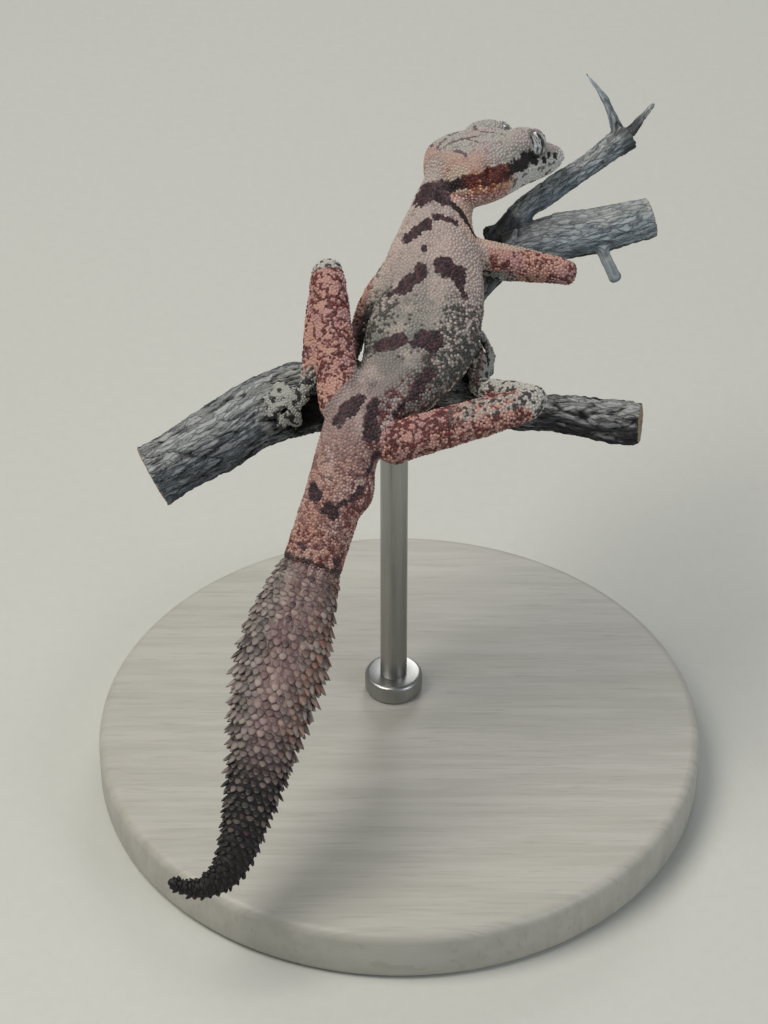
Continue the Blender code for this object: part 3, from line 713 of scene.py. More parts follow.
def relax(item, weight, times):
    """Move each point towards the middle of its neighbours."""
    a, b = read(item.data.edges, "vertices", 2, np.int32).T
    points = get_points(item)
    count = np.bincount(np.concatenate([a, b]), minlength=len(points))[:, None]
    weight = np.broadcast_to(weight, len(points))[:, None]
    for _ in range(times):
        total = np.zeros_like(points)
        for axis in range(3):
            total[:, axis] = np.bincount(a, points[b, axis], len(points))
            total[:, axis] += np.bincount(b, points[a, axis], len(points))
        points = points + (total / count - points) * weight
    set_points(item, points)


def near(points, centre, reach):
    return np.exp(-np.sum((points - np.array(centre)) ** 2, axis=1) / reach**2)


skin = melt("skin", [form for forms in flesh.values() for form in forms], VOXEL)
relax(skin, 0.5, 3)
points = get_points(skin)
soft = np.zeros(len(points))
creases = [(from_head((-12.2, 0, 0)), 3.0), (from_head((-11.6, 0, 2)), 2.4)]     # place, reach
for root, bend, end, _ in limb_lines.values():
    creases += [(root, 2.6), (root * 0.8 + bend * 0.2, 2.6), (bend, 1.6), (end, 0.6)]
for place, reach in creases:
    soft = np.maximum(soft, near(points, place, reach))
relax(skin, soft * 0.6, 26)
print("skin:", len(skin.data.polygons), "squares")

# %% [markdown]
# ## Where is each point of the skin?
#
# Marks, scales and folds follow the body, not the room. So each point of the skin is given
# its place on the animal: how far along the body, how far round from the back, and how near
# to a limb. The nearest point on each line tells both.

# %% The nearest place on a track
class Line:
    """The nearest place on a track for many points at once."""

    def __init__(self, track, up=None, step=0.1):
        self.s = np.arange(0, track.length + step, step)
        self.points, self.sizes, self.tangent, self.side, self.back = track.frames(self.s, up)

    def find(self, points):
        best = np.empty(len(points), dtype=int)
        for start in range(0, len(points), 4000):
            block = points[start:start + 4000]
            gaps = block @ self.points.T * -2 + np.sum(self.points**2, axis=1)
            best[start:start + 4000] = np.argmin(gaps, axis=1)
        away = points - self.points[best]
        across = np.sum(away * self.side[best], axis=1)
        above = np.sum(away * self.back[best], axis=1)
        along = self.s[best] + np.sum(away * self.tangent[best], axis=1)
        return along, np.degrees(np.arctan2(across, above)), np.linalg.norm(away, axis=1)


body_line = Line(BODY)
limb_line = {}
for name, (root, bend, end, palm) in limb_lines.items():
    radii = (UPPER_RADII[name[:3]][0], UPPER_RADII[name[:3]][2], LOWER_RADII[name[:3]][2], 0.6)
    limb_line[name] = Line(round_track((root, bend, end, palm), radii), (0, 0, 1))
print("lines: the body and", len(limb_line), "limbs")

# %% Places on the animal
FAR = 99.0               # millimetres; what a point that is near no limb is given
LIMB_EDGE = (1.10, 1.42)     # where skin turns from trunk to limb, in half widths off the body's line
HEAD_EDGE = (-13.4, -11.9)   # and from neck to head, ahead of the snout


def places_on(points):
    """Where each point is on the animal, as arrays by name."""
    out = {}
    out["along"], out["angle"], gap = body_line.find(points)
    body_ratio = gap / np.maximum(BODY.at(out["along"])[:, 3], 0.3)
    closest = np.full(len(points), 1e9)
    out["reach"], out["turn"] = np.zeros(len(points)), np.zeros(len(points))
    for key in ("past", "left", "bend"):
        out[key] = np.full(len(points), FAR)
    out["which"] = np.zeros(len(points), dtype=int)
    for index, (name, line) in enumerate(limb_line.items()):
        run, turn, gap = line.find(points)
        ratio = gap / np.interp(run, (0, line.s[-1]), (line.sizes[0][0], 0.8))
        nearer = ratio < closest
        closest[nearer] = ratio[nearer]
        out["reach"][nearer] = (run / line.s[-1])[nearer]
        out["turn"][nearer] = turn[nearer]
        root, bend = (np.array(place) for place in LIMBS[name])
        out["past"][nearer] = run[nearer] - math.dist(root, bend)
        out["bend"][nearer] = np.linalg.norm(points - bend, axis=1)[nearer]
        out["left"][nearer] = line.s[-1] - run[nearer]
        out["which"][nearer] = index
    skull = to_head(points)
    out["skull"] = skull
    out["head"] = smoothstep(*HEAD_EDGE, skull[:, 0]) * (out["along"] > NAPE - 3) * (np.abs(skull[:, 1]) < 6)
    out["limb"] = smoothstep(*LIMB_EDGE, body_ratio) * smoothstep(4.5, 2.5, closest)
    out["limb"] *= (1 - out["head"]) * (out["along"] > VENT - 6)
    return out


print("limb points so far:", int(np.sum(places_on(get_points(skin))["limb"] > 0.5)))

# %% [markdown]
# ## Shaping
#
# A sculptor would now press the finer forms into the clay: the rims of the lidless eyes, the
# groove of the mouth, nostrils, ear openings, a hollow crown, folds where the neck turns and
# the long muscles of the back. They move the points along their normals by a small amount,
# and the eyes' rims move them straight away from the eyeball. The head's squares are split
# once first, as its forms are the finest.

# %% Finer squares on the head
def split_faces(item, chosen):
    work = bmesh.new()
    work.from_mesh(item.data)
    work.verts.ensure_lookup_table()
    edges = [edge for edge in work.edges if chosen[edge.verts[0].index] and chosen[edge.verts[1].index]]
    bmesh.ops.subdivide_edges(work, edges=edges, cuts=1, use_grid_fill=True, smooth=0.4)
    work.to_mesh(item.data)
    work.free()


split_faces(skin, places_on(get_points(skin))["head"] > 0.6)
spot = places_on(get_points(skin))
print("skin with a finer head:", len(skin.data.polygons), "faces")
print("limb points:", int(np.sum(spot["limb"] > 0.5)), "head points:", int(np.sum(spot["head"] > 0.5)))

# %% Forms of the head
DIMPLES = (               # place on the head, half sizes, height; the same on both sides
    (NOSTRIL_PLACE, (0.3, 0.26, 0.24), -0.30),
    ((-0.95, 1.3, 0.75), (0.5, 0.35, 0.4), 0.10),       # swelling beside the nostril
    (EAR_PLACE, (0.34, 1.2, 0.62), -0.75),
    ((-10.7, 4.2, 0.3), (0.4, 0.9, 0.7), 0.16),         # rim behind the ear
    ((-9.0, 3.9, -0.9), (1.7, 1.6, 1.2), 0.16),         # jaw muscle
    ((-5.2, 0.0, 2.9), (2.2, 0.75, 1.0), -0.34),        # hollow between the eyes
    ((-2.6, 0.0, 1.9), (1.3, 0.6, 1.0), -0.14),         # hollow along the snout
    ((-2.6, 1.25, 1.25), (1.6, 0.35, 0.5), 0.14),       # ridge from the eye to the nostril
)
MOUTH_DEPTH, LIP_HEIGHT = 0.11, 0.05


def head_push(skull):
    """How far each point of the head moves out along its normal."""
    f, l, u = skull.T
    push = np.zeros(len(skull))
    for place, size, height in DIMPLES:
        gap = sum(((v - p) / s) ** 2 for v, p, s in zip((f, np.abs(l), u), place, size))
        push += height * np.exp(-gap)
    lip = LIP_LEVEL + 0.35 * smoothstep(-5.5, -9.0, f)
    groove = np.exp(-((u - lip + 0.12) / 0.11) ** 2) * smoothstep(-9.4, -8.4, f) * smoothstep(0.3, -0.3, f)
    push -= MOUTH_DEPTH * groove * (np.abs(l) > 0.15)
    return push + LIP_HEIGHT * np.exp(-((u - lip - 0.22) / 0.16) ** 2) * smoothstep(-9.0, -8.2, f)


print("dimples on each side of the head:", len(DIMPLES))

# %% Forms of the body
FOLD_STEP, RIB_STEP, WHORL_STEP = 1.15, 1.9, 0.95     # millimetres from one to the next along the body
SPINE_GROOVE, BACK_MUSCLE = 0.10, 0.09               # heights in millimetres, as are the next ones
NECK_FOLD, RIB, WHORL, RUMP_WHORL = 0.10, 0.035, 0.07, 0.03
BREAK_GROOVE, LIMB_LUMP = 0.16, 0.06


def wobble(points, wave, seed):
    """Soft unevenness: a few sine waves that run different ways."""
    rng = np.random.default_rng(seed)
    total = np.zeros(len(points))
    for _ in range(7):
        way = rng.normal(size=3)
        way *= 2 * np.pi / (wave * rng.uniform(0.7, 1.5) * np.linalg.norm(way))
        total += np.sin(points @ way + rng.uniform(0, 6.28))
    return total / 3.5


def bump_at(value, centre, width):
    return np.exp(-((value - centre) / width) ** 2)


def body_push(points, spot):
    """The same for the trunk, the tail and the limbs."""
    along, angle, head = spot["along"], spot["angle"], spot["head"]
    trunk = (1 - spot["limb"]) * (1 - head)
    push = -SPINE_GROOVE * bump_at(angle, 0, 10) * smoothstep(VENT - 3, VENT + 4, along) * trunk
    push += BACK_MUSCLE * bump_at(np.abs(angle), 26, 13) * smoothstep(VENT, VENT + 5, along) * trunk
    folds = np.sin(along * 2 * np.pi / FOLD_STEP + angle / 34) * bump_at(along, NAPE - 1.2, 2.0)
    push += NECK_FOLD * folds * smoothstep(15, 60, angle) * trunk
    ribs = np.sin(along * 2 * np.pi / RIB_STEP + np.abs(angle) / 24) * bump_at(along, 55, 7)
    push += RIB * ribs * bump_at(np.abs(angle), 75, 30) * trunk
    whorls = np.abs(np.sin(along * np.pi / WHORL_STEP)) - 0.6
    push += WHORL * whorls * smoothstep(BREAK + 1, BREAK - 2, along) * smoothstep(1.5, 5, along)
    push += RUMP_WHORL * whorls * bump_at(along, 36, 4) * trunk
    push -= BREAK_GROOVE * bump_at(along, BREAK, 0.28)
    push += 0.05 * wobble(points, 3.2, 4) * trunk + 0.03 * wobble(points, 1.3, 5) * (1 - head)
    return push + LIMB_LUMP * wobble(points, 1.8, 6) * spot["limb"] * smoothstep(0.93, 0.8, spot["reach"])


print("tail whorls", WHORL_STEP, "mm apart")

# %% Lids
EYE_AXIS = np.array((0.22, 0.92, 0.34))
LID_ANGLE = 52.0
LID_REACH = 0.85         # how far past the eyeball the lid shapes the skin
RIM_HEIGHT = 0.17
SOCKET_DEPTH = 0.22


def lid_rims(points):
    """Open the skin over each eyeball and raise a rim round it."""
    for mirror in (1, -1):
        centre = mirrored(EYE_PLACE, mirror)
        axis = (EYE_AXIS * (1, mirror, 1)) @ HEAD_AXES
        axis /= np.linalg.norm(axis)
        away = points - centre
        gap = np.linalg.norm(away, axis=1)
        off_axis = np.degrees(np.arccos(np.clip(away @ axis / np.maximum(gap, 1e-6), -1, 1)))
        close = gap < EYE_RADIUS + LID_REACH
        inside = close & (off_axis < LID_ANGLE)
        target = np.where(inside, EYE_RADIUS - SOCKET_DEPTH, gap)
        rim = bump_at(off_axis, LID_ANGLE + 9, 9) * close
        raised = gap * (1 - rim) + np.maximum(gap, EYE_RADIUS + RIM_HEIGHT) * rim
        target = np.where(close & ~inside, raised, target)
        points = centre + away * (target / np.maximum(gap, 1e-6))[:, None]
    return points


points = get_points(skin)
push = head_push(spot["skull"]) * spot["head"] + body_push(points, spot)
set_points(skin, lid_rims(points + get_normals(skin) * push[:, None]))
relax(skin, 0.35, 2)
print("forms pressed in, up to", round(float(np.abs(push).max()), 2), "mm")

# %% [markdown]
# ## Fields for the markings
#
# The paint needs to know where the dark blotches, the collar and the pale knees are. Each
# blotch is a short stroke on the animal's back, given by two places along the body and round
# it. What is stored is how near a point lies to the middle of the closest stroke. The lines of
# the head and the neck are strokes as well.

# %% Strokes of the brush
BLOTCHES = (              # along, angle, along, angle, half width, strength
    (67.9, -46, 68.2, -18, 1.15, 1.0), (68.2, 8, 68.7, 62, 1.20, 1.0), (68.2, 58, 64.8, 72, 0.40, 0.98),
    (63.5, -48, 64.7, -20, 0.74, 0.90), (65.8, -6, 65.4, 38, 0.50, 0.72),
    (59.7, -22, 57.9, -42, 0.95, 1.0), (60.6, 12, 59.9, 42, 0.95, 1.0), (58.0, -44, 57.2, -62, 0.5, 0.75),
    (59.4, 40, 58.0, 54, 0.5, 0.72), (62.3, -20, 62.3, -18, 0.36, 0.8),
    (51.9, -20, 50.9, -46, 0.88, 1.0), (52.6, 10, 52.9, 33, 1.00, 1.0),
    (43.1, -30, 44.3, -9, 0.66, 1.0), (44.5, 23, 42.7, 44, 0.62, 1.0),
    (50.4, 52, 48.4, 61, 0.60, 0.88), (48.0, 62, 45.4, 70, 0.40, 0.75),
    (37.7, -50, 37.4, -38, 0.70, 0.92), (36.6, -4, 36.4, 8, 0.72, 0.95), (37.2, 20, 37.6, 30, 0.34, 0.80),
    (38.0, 44, 38.8, 52, 0.36, 0.85), (40.2, 60, 41.6, 68, 0.38, 0.85),
    (32.9, -42, 32.8, -30, 0.42, 0.72), (32.5, 50, 32.3, 60, 0.45, 0.75),
)
EYE_STRIPE = (            # ahead of the snout, height, half width
    (-13.4, -1.10, 0.50), (-12.3, -0.85, 0.56), (-11.3, -0.42, 0.66), (-9.5, -0.08, 0.74), (-8.0, 0.08, 0.66),
    (-7.0, 0.25, 0.60), (-6.3, 0.62, 0.80), (-5.4, 0.92, 0.74), (-4.4, 0.70, 0.56))
FACE_SPOTS = (            # ahead, aside, height, half width
    (-3.5, 2.75, 0.50, 0.42), (-2.6, 2.45, 0.62, 0.40), (-1.9, 2.05, 0.40, 0.28), (-2.9, 2.35, 1.35, 0.30))
CROWN_LINES = (           # from and to as ahead and aside, half width
    ((-12.2, 0.3), (-9.4, 1.5), 0.16), ((-8.3, 0.4), (-7.1, 2.4), 0.14),
    ((-10.4, 1.0), (-9.9, 2.6), 0.14), ((-11.9, 1.6), (-11.4, 3.0), 0.15))
CREAM = (-12.2, 2.85, -0.35)     # pale patch on the right, where the head meets the neck
NECK_LINE = ((8.5, 19.2, 8.4), (9.0, 18.9, 8.1), (9.7, 18.2, 7.3), (10.2, 17.8, 6.2))
NECK_LINE_HALF = 0.30


def stroke(places, start, end, half):
    """1 in the middle of a stroke, a half at its rim and 0 as far out again."""
    way = np.subtract(end, start)
    share = np.clip(np.sum((places - start) * way, axis=-1) / np.sum(way * way, axis=-1), 0, 1)
    gap = np.linalg.norm(places - start - share[:, None] * way, axis=1)
    return np.clip(1 - gap / (2 * half), 0, 1)


def blotch_field(along, angle):
    wide = BODY.at(along)[:, 3]
    places = np.stack([along, np.radians(angle) * wide], axis=1)
    field = np.zeros(len(along))
    for s0, a0, s1, a1, half, strength in BLOTCHES:
        start, end = (np.stack([0 * wide + s, np.radians(a) * wide], axis=1) for s, a in ((s0, a0), (s1, a1)))
        field = np.maximum(field, strength * stroke(places, start, end, half))
    return field


def face_field(skull):
    """How near a point of the head is to the eye stripe or to a dark spot."""
    f, l, u = skull.T
    ahead, height, half = np.array(EYE_STRIPE).T
    away = np.abs(u - np.interp(f, ahead, height)) / (2 * np.interp(f, ahead, half))
    field = np.clip(1 - away, 0, 1) * smoothstep(0.6, 1.4, np.abs(l)) * smoothstep(-4.0, -4.6, f)
    for *place, half in FACE_SPOTS:
        gap = np.linalg.norm(np.stack([f, np.abs(l), u], axis=1) - place, axis=1)
        field = np.maximum(field, np.clip(1 - gap / (2 * half), 0, 1))
    for start, end, half in CROWN_LINES:
        line = stroke(np.stack([f, np.abs(l)], axis=1), start, end, half)
        field = np.maximum(field, 0.9 * line * smoothstep(0.8, 1.2, u))
    return field


def neck_field(points):
    return np.max([stroke(points, start, end, NECK_LINE_HALF)
                   for start, end in zip(NECK_LINE, NECK_LINE[1:])], axis=0)


print("blotches:", len(BLOTCHES))

# %% Fields on the skin
ARM_LEFT, LEG_RIGHT, LEG_LEFT = 1, 2, 3           # numbers of three of the limbs in LIMBS
PALE_JOINT = np.array((0.25, 0.0, 0.9, 0.95))     # how pale each limb's elbow or knee is
PALE_EDGE = np.array((0.2, 0.0, 0.52, 0.0))       # and its upper side


def store(item, name, values, kind="FLOAT"):
    key = "vector" if kind == "FLOAT_VECTOR" else "value"
    layer = item.data.attributes.new(name, kind, "POINT")
    layer.data.foreach_set(key, np.asarray(values, dtype=np.float32).ravel())


def bark_gap(points):
    """How far each point is from the nearest bark."""
    gaps = []
    for track in PERCH.values():
        run, _, gap = Line(track, PERCH_UP).find(points)
        gaps.append(gap - track.at(run)[:, 3])
    return np.min(gaps, axis=0)


def pale_field(points, spot):
    """Where a limb is pale: its joint, its upper side and its shin."""
    which, past = spot["which"], spot["past"]
    joint = PALE_JOINT[which] * smoothstep(2.3, 1.3, spot["bend"])
    edge = smoothstep(0.2, 0.9, np.cos(np.radians(spot["turn"]))) * PALE_EDGE[which]
    edge += smoothstep(-0.9, 0.0, points[:, 0]) * 0.5 * (which == LEG_LEFT)
    shin = smoothstep(4.2, 2.4, spot["left"]) + 0.8 * (which == LEG_RIGHT) * smoothstep(0.2, 1.2, past)
    return np.clip(joint + edge * smoothstep(-13, -7, past) + shin * 0.5, 0, 1)


def red_field(along, angle):
    """Where the dark red net lies: beside the hip, right of the tail base and across it."""
    hip = bump_at(along, 45.0, 4.5) * smoothstep(12, 40, angle)
    side = bump_at(along, 38.0, 3.2) * smoothstep(18, 45, angle)
    band = 0.6 * bump_at(along, 33.0, 1.7)
    return np.maximum(np.maximum(hip, side), band) * smoothstep(135, 105, np.abs(angle))


def sooty_field(along, angle):
    """Where the sooty net lies: on both sides of the middle back, and faintly between."""
    sides = np.where(angle > 0, smoothstep(20, 44, angle), 0.85 * smoothstep(32, 56, -angle))
    return np.maximum(sides, 0.18) * np.exp(-((along - 53.6) / 4.4) ** 4)


def paint_fields(item, points, spot):
    along, angle, past = spot["along"], spot["angle"], spot["past"]
    grip = smoothstep(4.6, 3.8, spot["left"]) * smoothstep(1.2, 0.8, bark_gap(points))
    limb = np.maximum(spot["limb"], grip)
    wide = BODY.at(along)[:, 3]
    run = np.stack([along, np.radians(angle) * wide, 0 * wide], axis=1)
    for name, values in (("place", points), ("skull", spot["skull"]), ("run", run)):
        store(item, name, values, "FLOAT_VECTOR")
    for name, values in {
        "along": along / BODY.length,
        "over": np.cos(np.radians(angle)),
        "right": np.sin(np.radians(angle)),
        "head": spot["head"],
        "limb": limb,
        "foot": np.maximum(limb * smoothstep(2.4, 1.5, spot["left"]), grip),
        "pale": limb * pale_field(points, spot),
        "marks": np.where(spot["which"] > ARM_LEFT, 1.0, 1.3 * smoothstep(-10.0, -6.0, past) - 1.0),
        "blotch": blotch_field(along, angle) * (1 - limb),
        "face": face_field(spot["skull"]),
        "line": neck_field(points),
        "cream": near(spot["skull"] * (1, -1, 1), CREAM, 1.5),
        "sooty": sooty_field(along, angle) * (1 - limb),
        "red": red_field(along, angle) * (1 - limb),
    }.items():
        store(item, name, values)


skin_points = get_points(skin)
spot = places_on(skin_points)
paint_fields(skin, skin_points, spot)
print("fields:", ", ".join(layer.name for layer in skin.data.attributes if layer.name[0] != "."))

# %% [markdown]
# ## Skin and scales, one paint
#
# The model's skin is painted resin: satin, a little see-through at the edges. One material
# serves the skin and the scales on it, so that the marks run through both. It lays coat upon
# coat by the fields, as a model painter would, and breaks every edge up with noise, as a
# lizard's pattern changes from one scale to the next.

# %% Ways of laying paint
def lay(add, colour, coat, *shares):
    """Lay a coat over a colour, as thick as the product of the shares."""
    share = shares[0]
    for more in shares[1:]:
        share = add("times", share, more)
    return add("mix", share, colour, coat)


def ragged(add, value, unevenness, amount):
    """A value moved up and down by noise, so that an edge drawn from it is ragged."""
    return add("plus", value, add("times", unevenness, amount))


def winding(add, place, scale, roughness, widening):
    """How far each point is off a winding line, less what widens the line."""
    away = add("size", add("minus", add("noise", place, scale, 2.5, roughness), 0.5))
    return add("minus", away, widening)


def thin_line(add, value, level, half):
    """1 on a thin line where the value passes the level."""
    return add("fade", add("size", add("minus", value, level)), half, half * 0.35)


def skin_fields(add):
    """The fields and noises that all the skin's coats share; scales of noise are in millimetres."""
    at = SimpleNamespace(place=add("places", "place"), run=add("places", "run"))
    at.over, at.along = add("field", "over"), add("field", "along")
    at.fine = add("noise", at.place, 1.9, 3.0, 0.6)
    at.soft = add("noise", at.place, 0.45)
    at.speck = add("noise", at.place, 3.6, 1.0)
    at.uneven = add("minus", at.fine, 0.5)
    return at


print("brushes ready")

# %% Back, flanks and belly
BACK_COLOURS = (          # share of the body's line, from the tail's tip
    (0.00, "#090a0a"), (0.165, "#0e0d0e"), (0.21, "#2e2728"), (0.29, "#655657"), (0.41, "#80696a"),
    (0.432, "#b28575"), (0.53, "#b0897e"), (0.60, "#8c7a77"), (0.71, "#7b7e78"), (0.79, "#968f89"),
    (0.86, "#ae9e98"), (1.00, "#aba49f"))
BREAK_SHARE = BREAK / BODY.length + 0.004     # where the tail would break off


def back_colour(add, at):
    """Black tail tip, mauve plume, salmon tail base, grey-green middle and pink shoulders."""
    back = add("ramp", at.along)
    stops = back.node.color_ramp.elements
    while len(stops) < len(BACK_COLOURS):
        stops.new(0.5)
    for stop, (share, colour) in zip(stops, BACK_COLOURS):
        stop.position = share
        stop.color = paint(colour)
    cloudy, speckled = add("fade", at.soft, 0.42, 0.66), add("fade", at.speck, 0.56, 0.70)
    back = lay(add, back, "#bdaca5", add("fade", at.along, 0.26, 0.44), cloudy, 0.5)
    return lay(add, back, "#4e4243", add("fade", at.along, 0.16, 0.28), speckled, 0.4)


def plume_colour(add, at, back):
    """Two mauve streaks along the plume's middle, grey and brown towards its edges."""
    on_plume = add("fade", at.along, BREAK_SHARE, BREAK_SHARE - 0.003)
    streak = add("noise", add("stretch", at.run, (0.22, 1.5, 1.0)), 1.0, 3.0, 0.6)
    middle = add("mix", add("fade", streak, 0.40, 0.60), "#a08a84", "#6c5254")
    edge = add("mix", add("fade", at.fine, 0.42, 0.60), "#958b86", "#5b514e")
    on_right = add("fade", add("field", "right"), 0.05, 0.45)
    edge = lay(add, edge, "#80594a", on_right, add("fade", at.speck, 0.40, 0.56), 0.8)
    plume = add("mix", add("fade", at.over, 0.93, 0.62), middle, edge)
    return lay(add, back, plume, on_plume, add("fade", at.along, 0.17, 0.27))


def side_colour(add, at, colour):
    """Pale flanks with dark flecks, and a pale belly."""
    flecks = add("fade", add("noise", at.place, 1.3), 0.50, 0.56)
    flank = add("mix", flecks, "#b5a89b", "#3b3433")
    side_low = ragged(add, at.over, at.uneven, 0.55)
    colour = lay(add, colour, flank, add("fade", side_low, 0.22, -0.10),
                 add("fade", at.along, 0.57, 0.64), add("fade", at.along, 0.90, 0.84))
    belly = add("mix", add("fade", at.along, 0.42, 0.56), "#57494a", "#c8b9aa")
    return lay(add, colour, belly, add("fade", at.over, -0.45, -0.8), add("fade", at.along, 0.16, 0.28))


print("trunk colours:", len(BACK_COLOURS))

# %% Nets on the back and the tail base
def net_colour(add, at, colour):
    """A sooty net beside the middle back, mauve and red ones at the tail base, and the break's line."""
    sooty = winding(add, at.place, 1.3, 0.7, add("times", add("field", "sooty"), 0.066))
    colour = lay(add, colour, "#2b2d2a", add("fade", sooty, 0.004, -0.010), 0.88)
    mauve = thin_line(add, add("noise", at.place, 1.25, 2.5, 0.7), 0.5, 0.052)
    colour = lay(add, colour, "#5a353a", mauve, add("fade", at.along, 0.428, 0.44),
                 add("fade", at.along, 0.60, 0.54), 0.75)
    red = winding(add, at.place, 1.0, 0.72, add("times", add("field", "red"), 0.055))
    colour = lay(add, colour, "#5a2322", add("fade", red, 0.006, -0.008), 0.92)
    edge = ragged(add, add("size", add("minus", at.along, BREAK_SHARE)), at.uneven, 0.014)
    return lay(add, colour, "#2a1a1c", add("fade", edge, 0.0042, 0.0014), 0.9)


print("break line at", round(BREAK_SHARE, 3), "of the body's line")

# %% Limbs and blotches
def limb_colour(add, at, colour):
    """Peach with dark red winding lines; joints and toes pale grey with dark flecks."""
    limb = add("mix", add("fade", at.soft, 0.40, 0.65), "#b78d80", "#ab8380")
    worm = winding(add, at.place, 0.92, 0.72, add("times", add("field", "marks"), 0.026))
    cluster = add("minus", 0.5, add("noise", at.place, 0.40, 1.0))
    worm = ragged(add, worm, cluster, 0.10)
    dark = add("mix", add("fade", at.speck, 0.4, 0.6), "#401514", "#64241f")
    limb = lay(add, limb, dark, add("fade", worm, 0.030, 0.008), 0.95)
    flecks = add("fade", add("noise", at.place, 1.9, 1.0), 0.55, 0.60)
    grey = add("mix", flecks, "#b3b0a9", "#403a3b")
    pale = ragged(add, add("field", "pale"), at.uneven, 0.9)
    limb = lay(add, limb, grey, add("fade", pale, 0.42, 0.60))
    flecks = add("fade", add("noise", at.place, 1.9, 2.5), 0.52, 0.58)
    limb = lay(add, limb, add("mix", flecks, "#a3a39d", "#262526"), add("field", "foot"))
    return lay(add, colour, limb, add("fade", add("field", "limb"), 0.05, 0.45))


def blotch_colour(add, at, colour):
    """Dark plum with a ragged rim and a darker heart."""
    rough = add("minus", add("noise", at.place, 1.05, 3.0, 0.7), 0.5)
    blotch = ragged(add, add("field", "blotch"), add("plus", at.uneven, rough), 0.62)
    plum = add("mix", add("fade", at.speck, 0.40, 0.62), "#241b1e", "#4d3138")
    return lay(add, colour, plum, add("fade", blotch, 0.46, 0.54))


print("limb and blotch colours ready")

# %% Head
def head_colour(add, at):
    """Pale crown, stripe through the eye, warm cheek and pale lips."""
    ahead = add("part", add("places", "skull"))
    up = ahead.node.outputs["Z"]
    uneven = add("times", at.uneven, 0.9)
    uneven_ahead, uneven_up = add("plus", ahead, uneven), add("plus", up, uneven)
    crown = add("mix", add("fade", at.soft, 0.42, 0.62), "#a4a29b", "#aa9c99")
    cracks = thin_line(add, add("noise", at.place, 0.8, 2.0, 0.6), 0.52, 0.022)
    crown = lay(add, crown, "#6b5c60", cracks, 0.55)
    nape = add("mix", add("fade", at.fine, 0.44, 0.62), "#b3978a", "#a3857b")
    crown = lay(add, crown, nape, add("fade", uneven_ahead, -9.4, -10.8), add("fade", uneven_up, 2.2, 1.5))
    lips = add("mix", add("fade", add("noise", at.place, 1.4), 0.57, 0.63), "#cbcbc4", "#716b68")
    below = add("mix", add("fade", uneven_up, -1.2, -2.0), "#c99b82", "#c8a6a0")
    squiggle = thin_line(add, add("noise", at.place, 1.0, 2.5, 0.7), 0.5, 0.050)
    below = lay(add, below, "#74302a", squiggle, 0.78)
    cheek = add("mix", add("fade", uneven_ahead, -7.9, -6.9), below, lips)
    colour = add("mix", add("fade", uneven_up, 0.75, 0.25), crown, cheek)
    cream = ragged(add, add("field", "cream"), uneven, 0.5)
    colour = lay(add, colour, "#b7a595", add("fade", cream, 0.42, 0.55))
    wave = ragged(add, at.uneven, add("minus", add("noise", at.place, 0.9, 1.0), 0.5), 0.9)
    stripe = add("fade", add("plus", add("field", "face"), wave), 0.46, 0.54)
    dark = add("mix", add("fade", at.speck, 0.40, 0.60), "#3c1716", "#662a25")
    dark = lay(add, dark, "#a5623f", add("fade", at.fine, 0.58, 0.66))
    dark = lay(add, dark, "#1b1719", add("fade", ahead, -9.2, -7.4))
    dark = lay(add, dark, "#21191b", add("fade", ahead, -11.4, -12.2))
    dark = lay(add, dark, "#655659", add("fade", up, 1.4, 1.8))
    colour = lay(add, colour, dark, stripe)
    return lay(add, colour, "#bca798", add("fade", up, -2.0, -2.6), 0.8)


print("head colours ready")

# %% Shading of a scale
def scale_shading(add, at, colour):
    """Painted shade at scale roots; each plume scale's own tone; a painted highlight on its keel and tip."""
    rise, tone = add("field", "rise"), add("field", "tone")
    light = ragged(add, 0.22, add("fade", at.along, 0.32, 0.22), 0.22)
    light = add("times", light, add("fade", at.along, 0.06, 0.16))
    colour = lay(add, colour, "#9d8d85", add("fade", tone, 0.25, 1.0), light)
    colour = lay(add, colour, "#2b2223", add("fade", tone, 0.10, -0.9), 0.62)
    # Painted shade: the skin between the grains and every scale's root are darkened, a spine's root most.
    deep = ragged(add, 0.24, add("field", "spine"), 0.46)
    colour = lay(add, colour, "#1b1516", add("fade", rise, 0.55, 0.0), deep)
    # Painted highlight: the upper side and the tip of each plume spine are lightened.
    return lay(add, colour, "#a39d97", add("fade", rise, 0.55, 1.0), add("field", "keel"),
               add("fade", at.along, 0.02, 0.24), 0.50)


print("scale shading ready")

# %% Skin material
def skin_material():
    """Painted resin skin of a granular-scaled gecko: satin, with a trace of depth."""
    material, add, shader = new_material("painted resin skin")
    at = skin_fields(add)
    colour = plume_colour(add, at, back_colour(add, at))
    for coat in (side_colour, net_colour, limb_colour, blotch_colour):
        colour = coat(add, at, colour)
    colour = lay(add, colour, head_colour(add, at), add("fade", add("field", "head"), 0.35, 0.75))
    neck_line = ragged(add, add("field", "line"), at.uneven, 0.5)
    colour = lay(add, colour, "#2a2022", add("fade", neck_line, 0.44, 0.54))
    grains = add("times", add("cells", at.place, 3.4), -1.0)
    set_node(shader, {
        "Base Color": scale_shading(add, at, colour),
        "Roughness": 0.58,
        "Specular IOR Level": 0.38,
        "Subsurface Weight": 0.06,
        "Subsurface Radius": (0.0006, 0.0003, 0.0002),
        "Subsurface Scale": 1.0,
        "Normal": add("bump", 0.35, 0.00006, grains),
    })
    return material


SKIN = skin_material()
skin.data.materials.append(SKIN)
FLESH = [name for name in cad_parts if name.split("_")[0] in
         ("head", "neck", "torso", "tail", "upper", "forearm", "hand", "thigh", "shin", "foot")]
print("skin replaces", len(FLESH), "nodes")

# %% [markdown]
# ## Eyes and claws
#
# The eyes are glass domes over a painted iris: silver with dark upright lines that run into a
# narrow upright pupil. The iris is painted on the back of real display eyes; here the ball has
# a clear coat instead, which gives the same wet shine. The claws are little dark horn hooks.

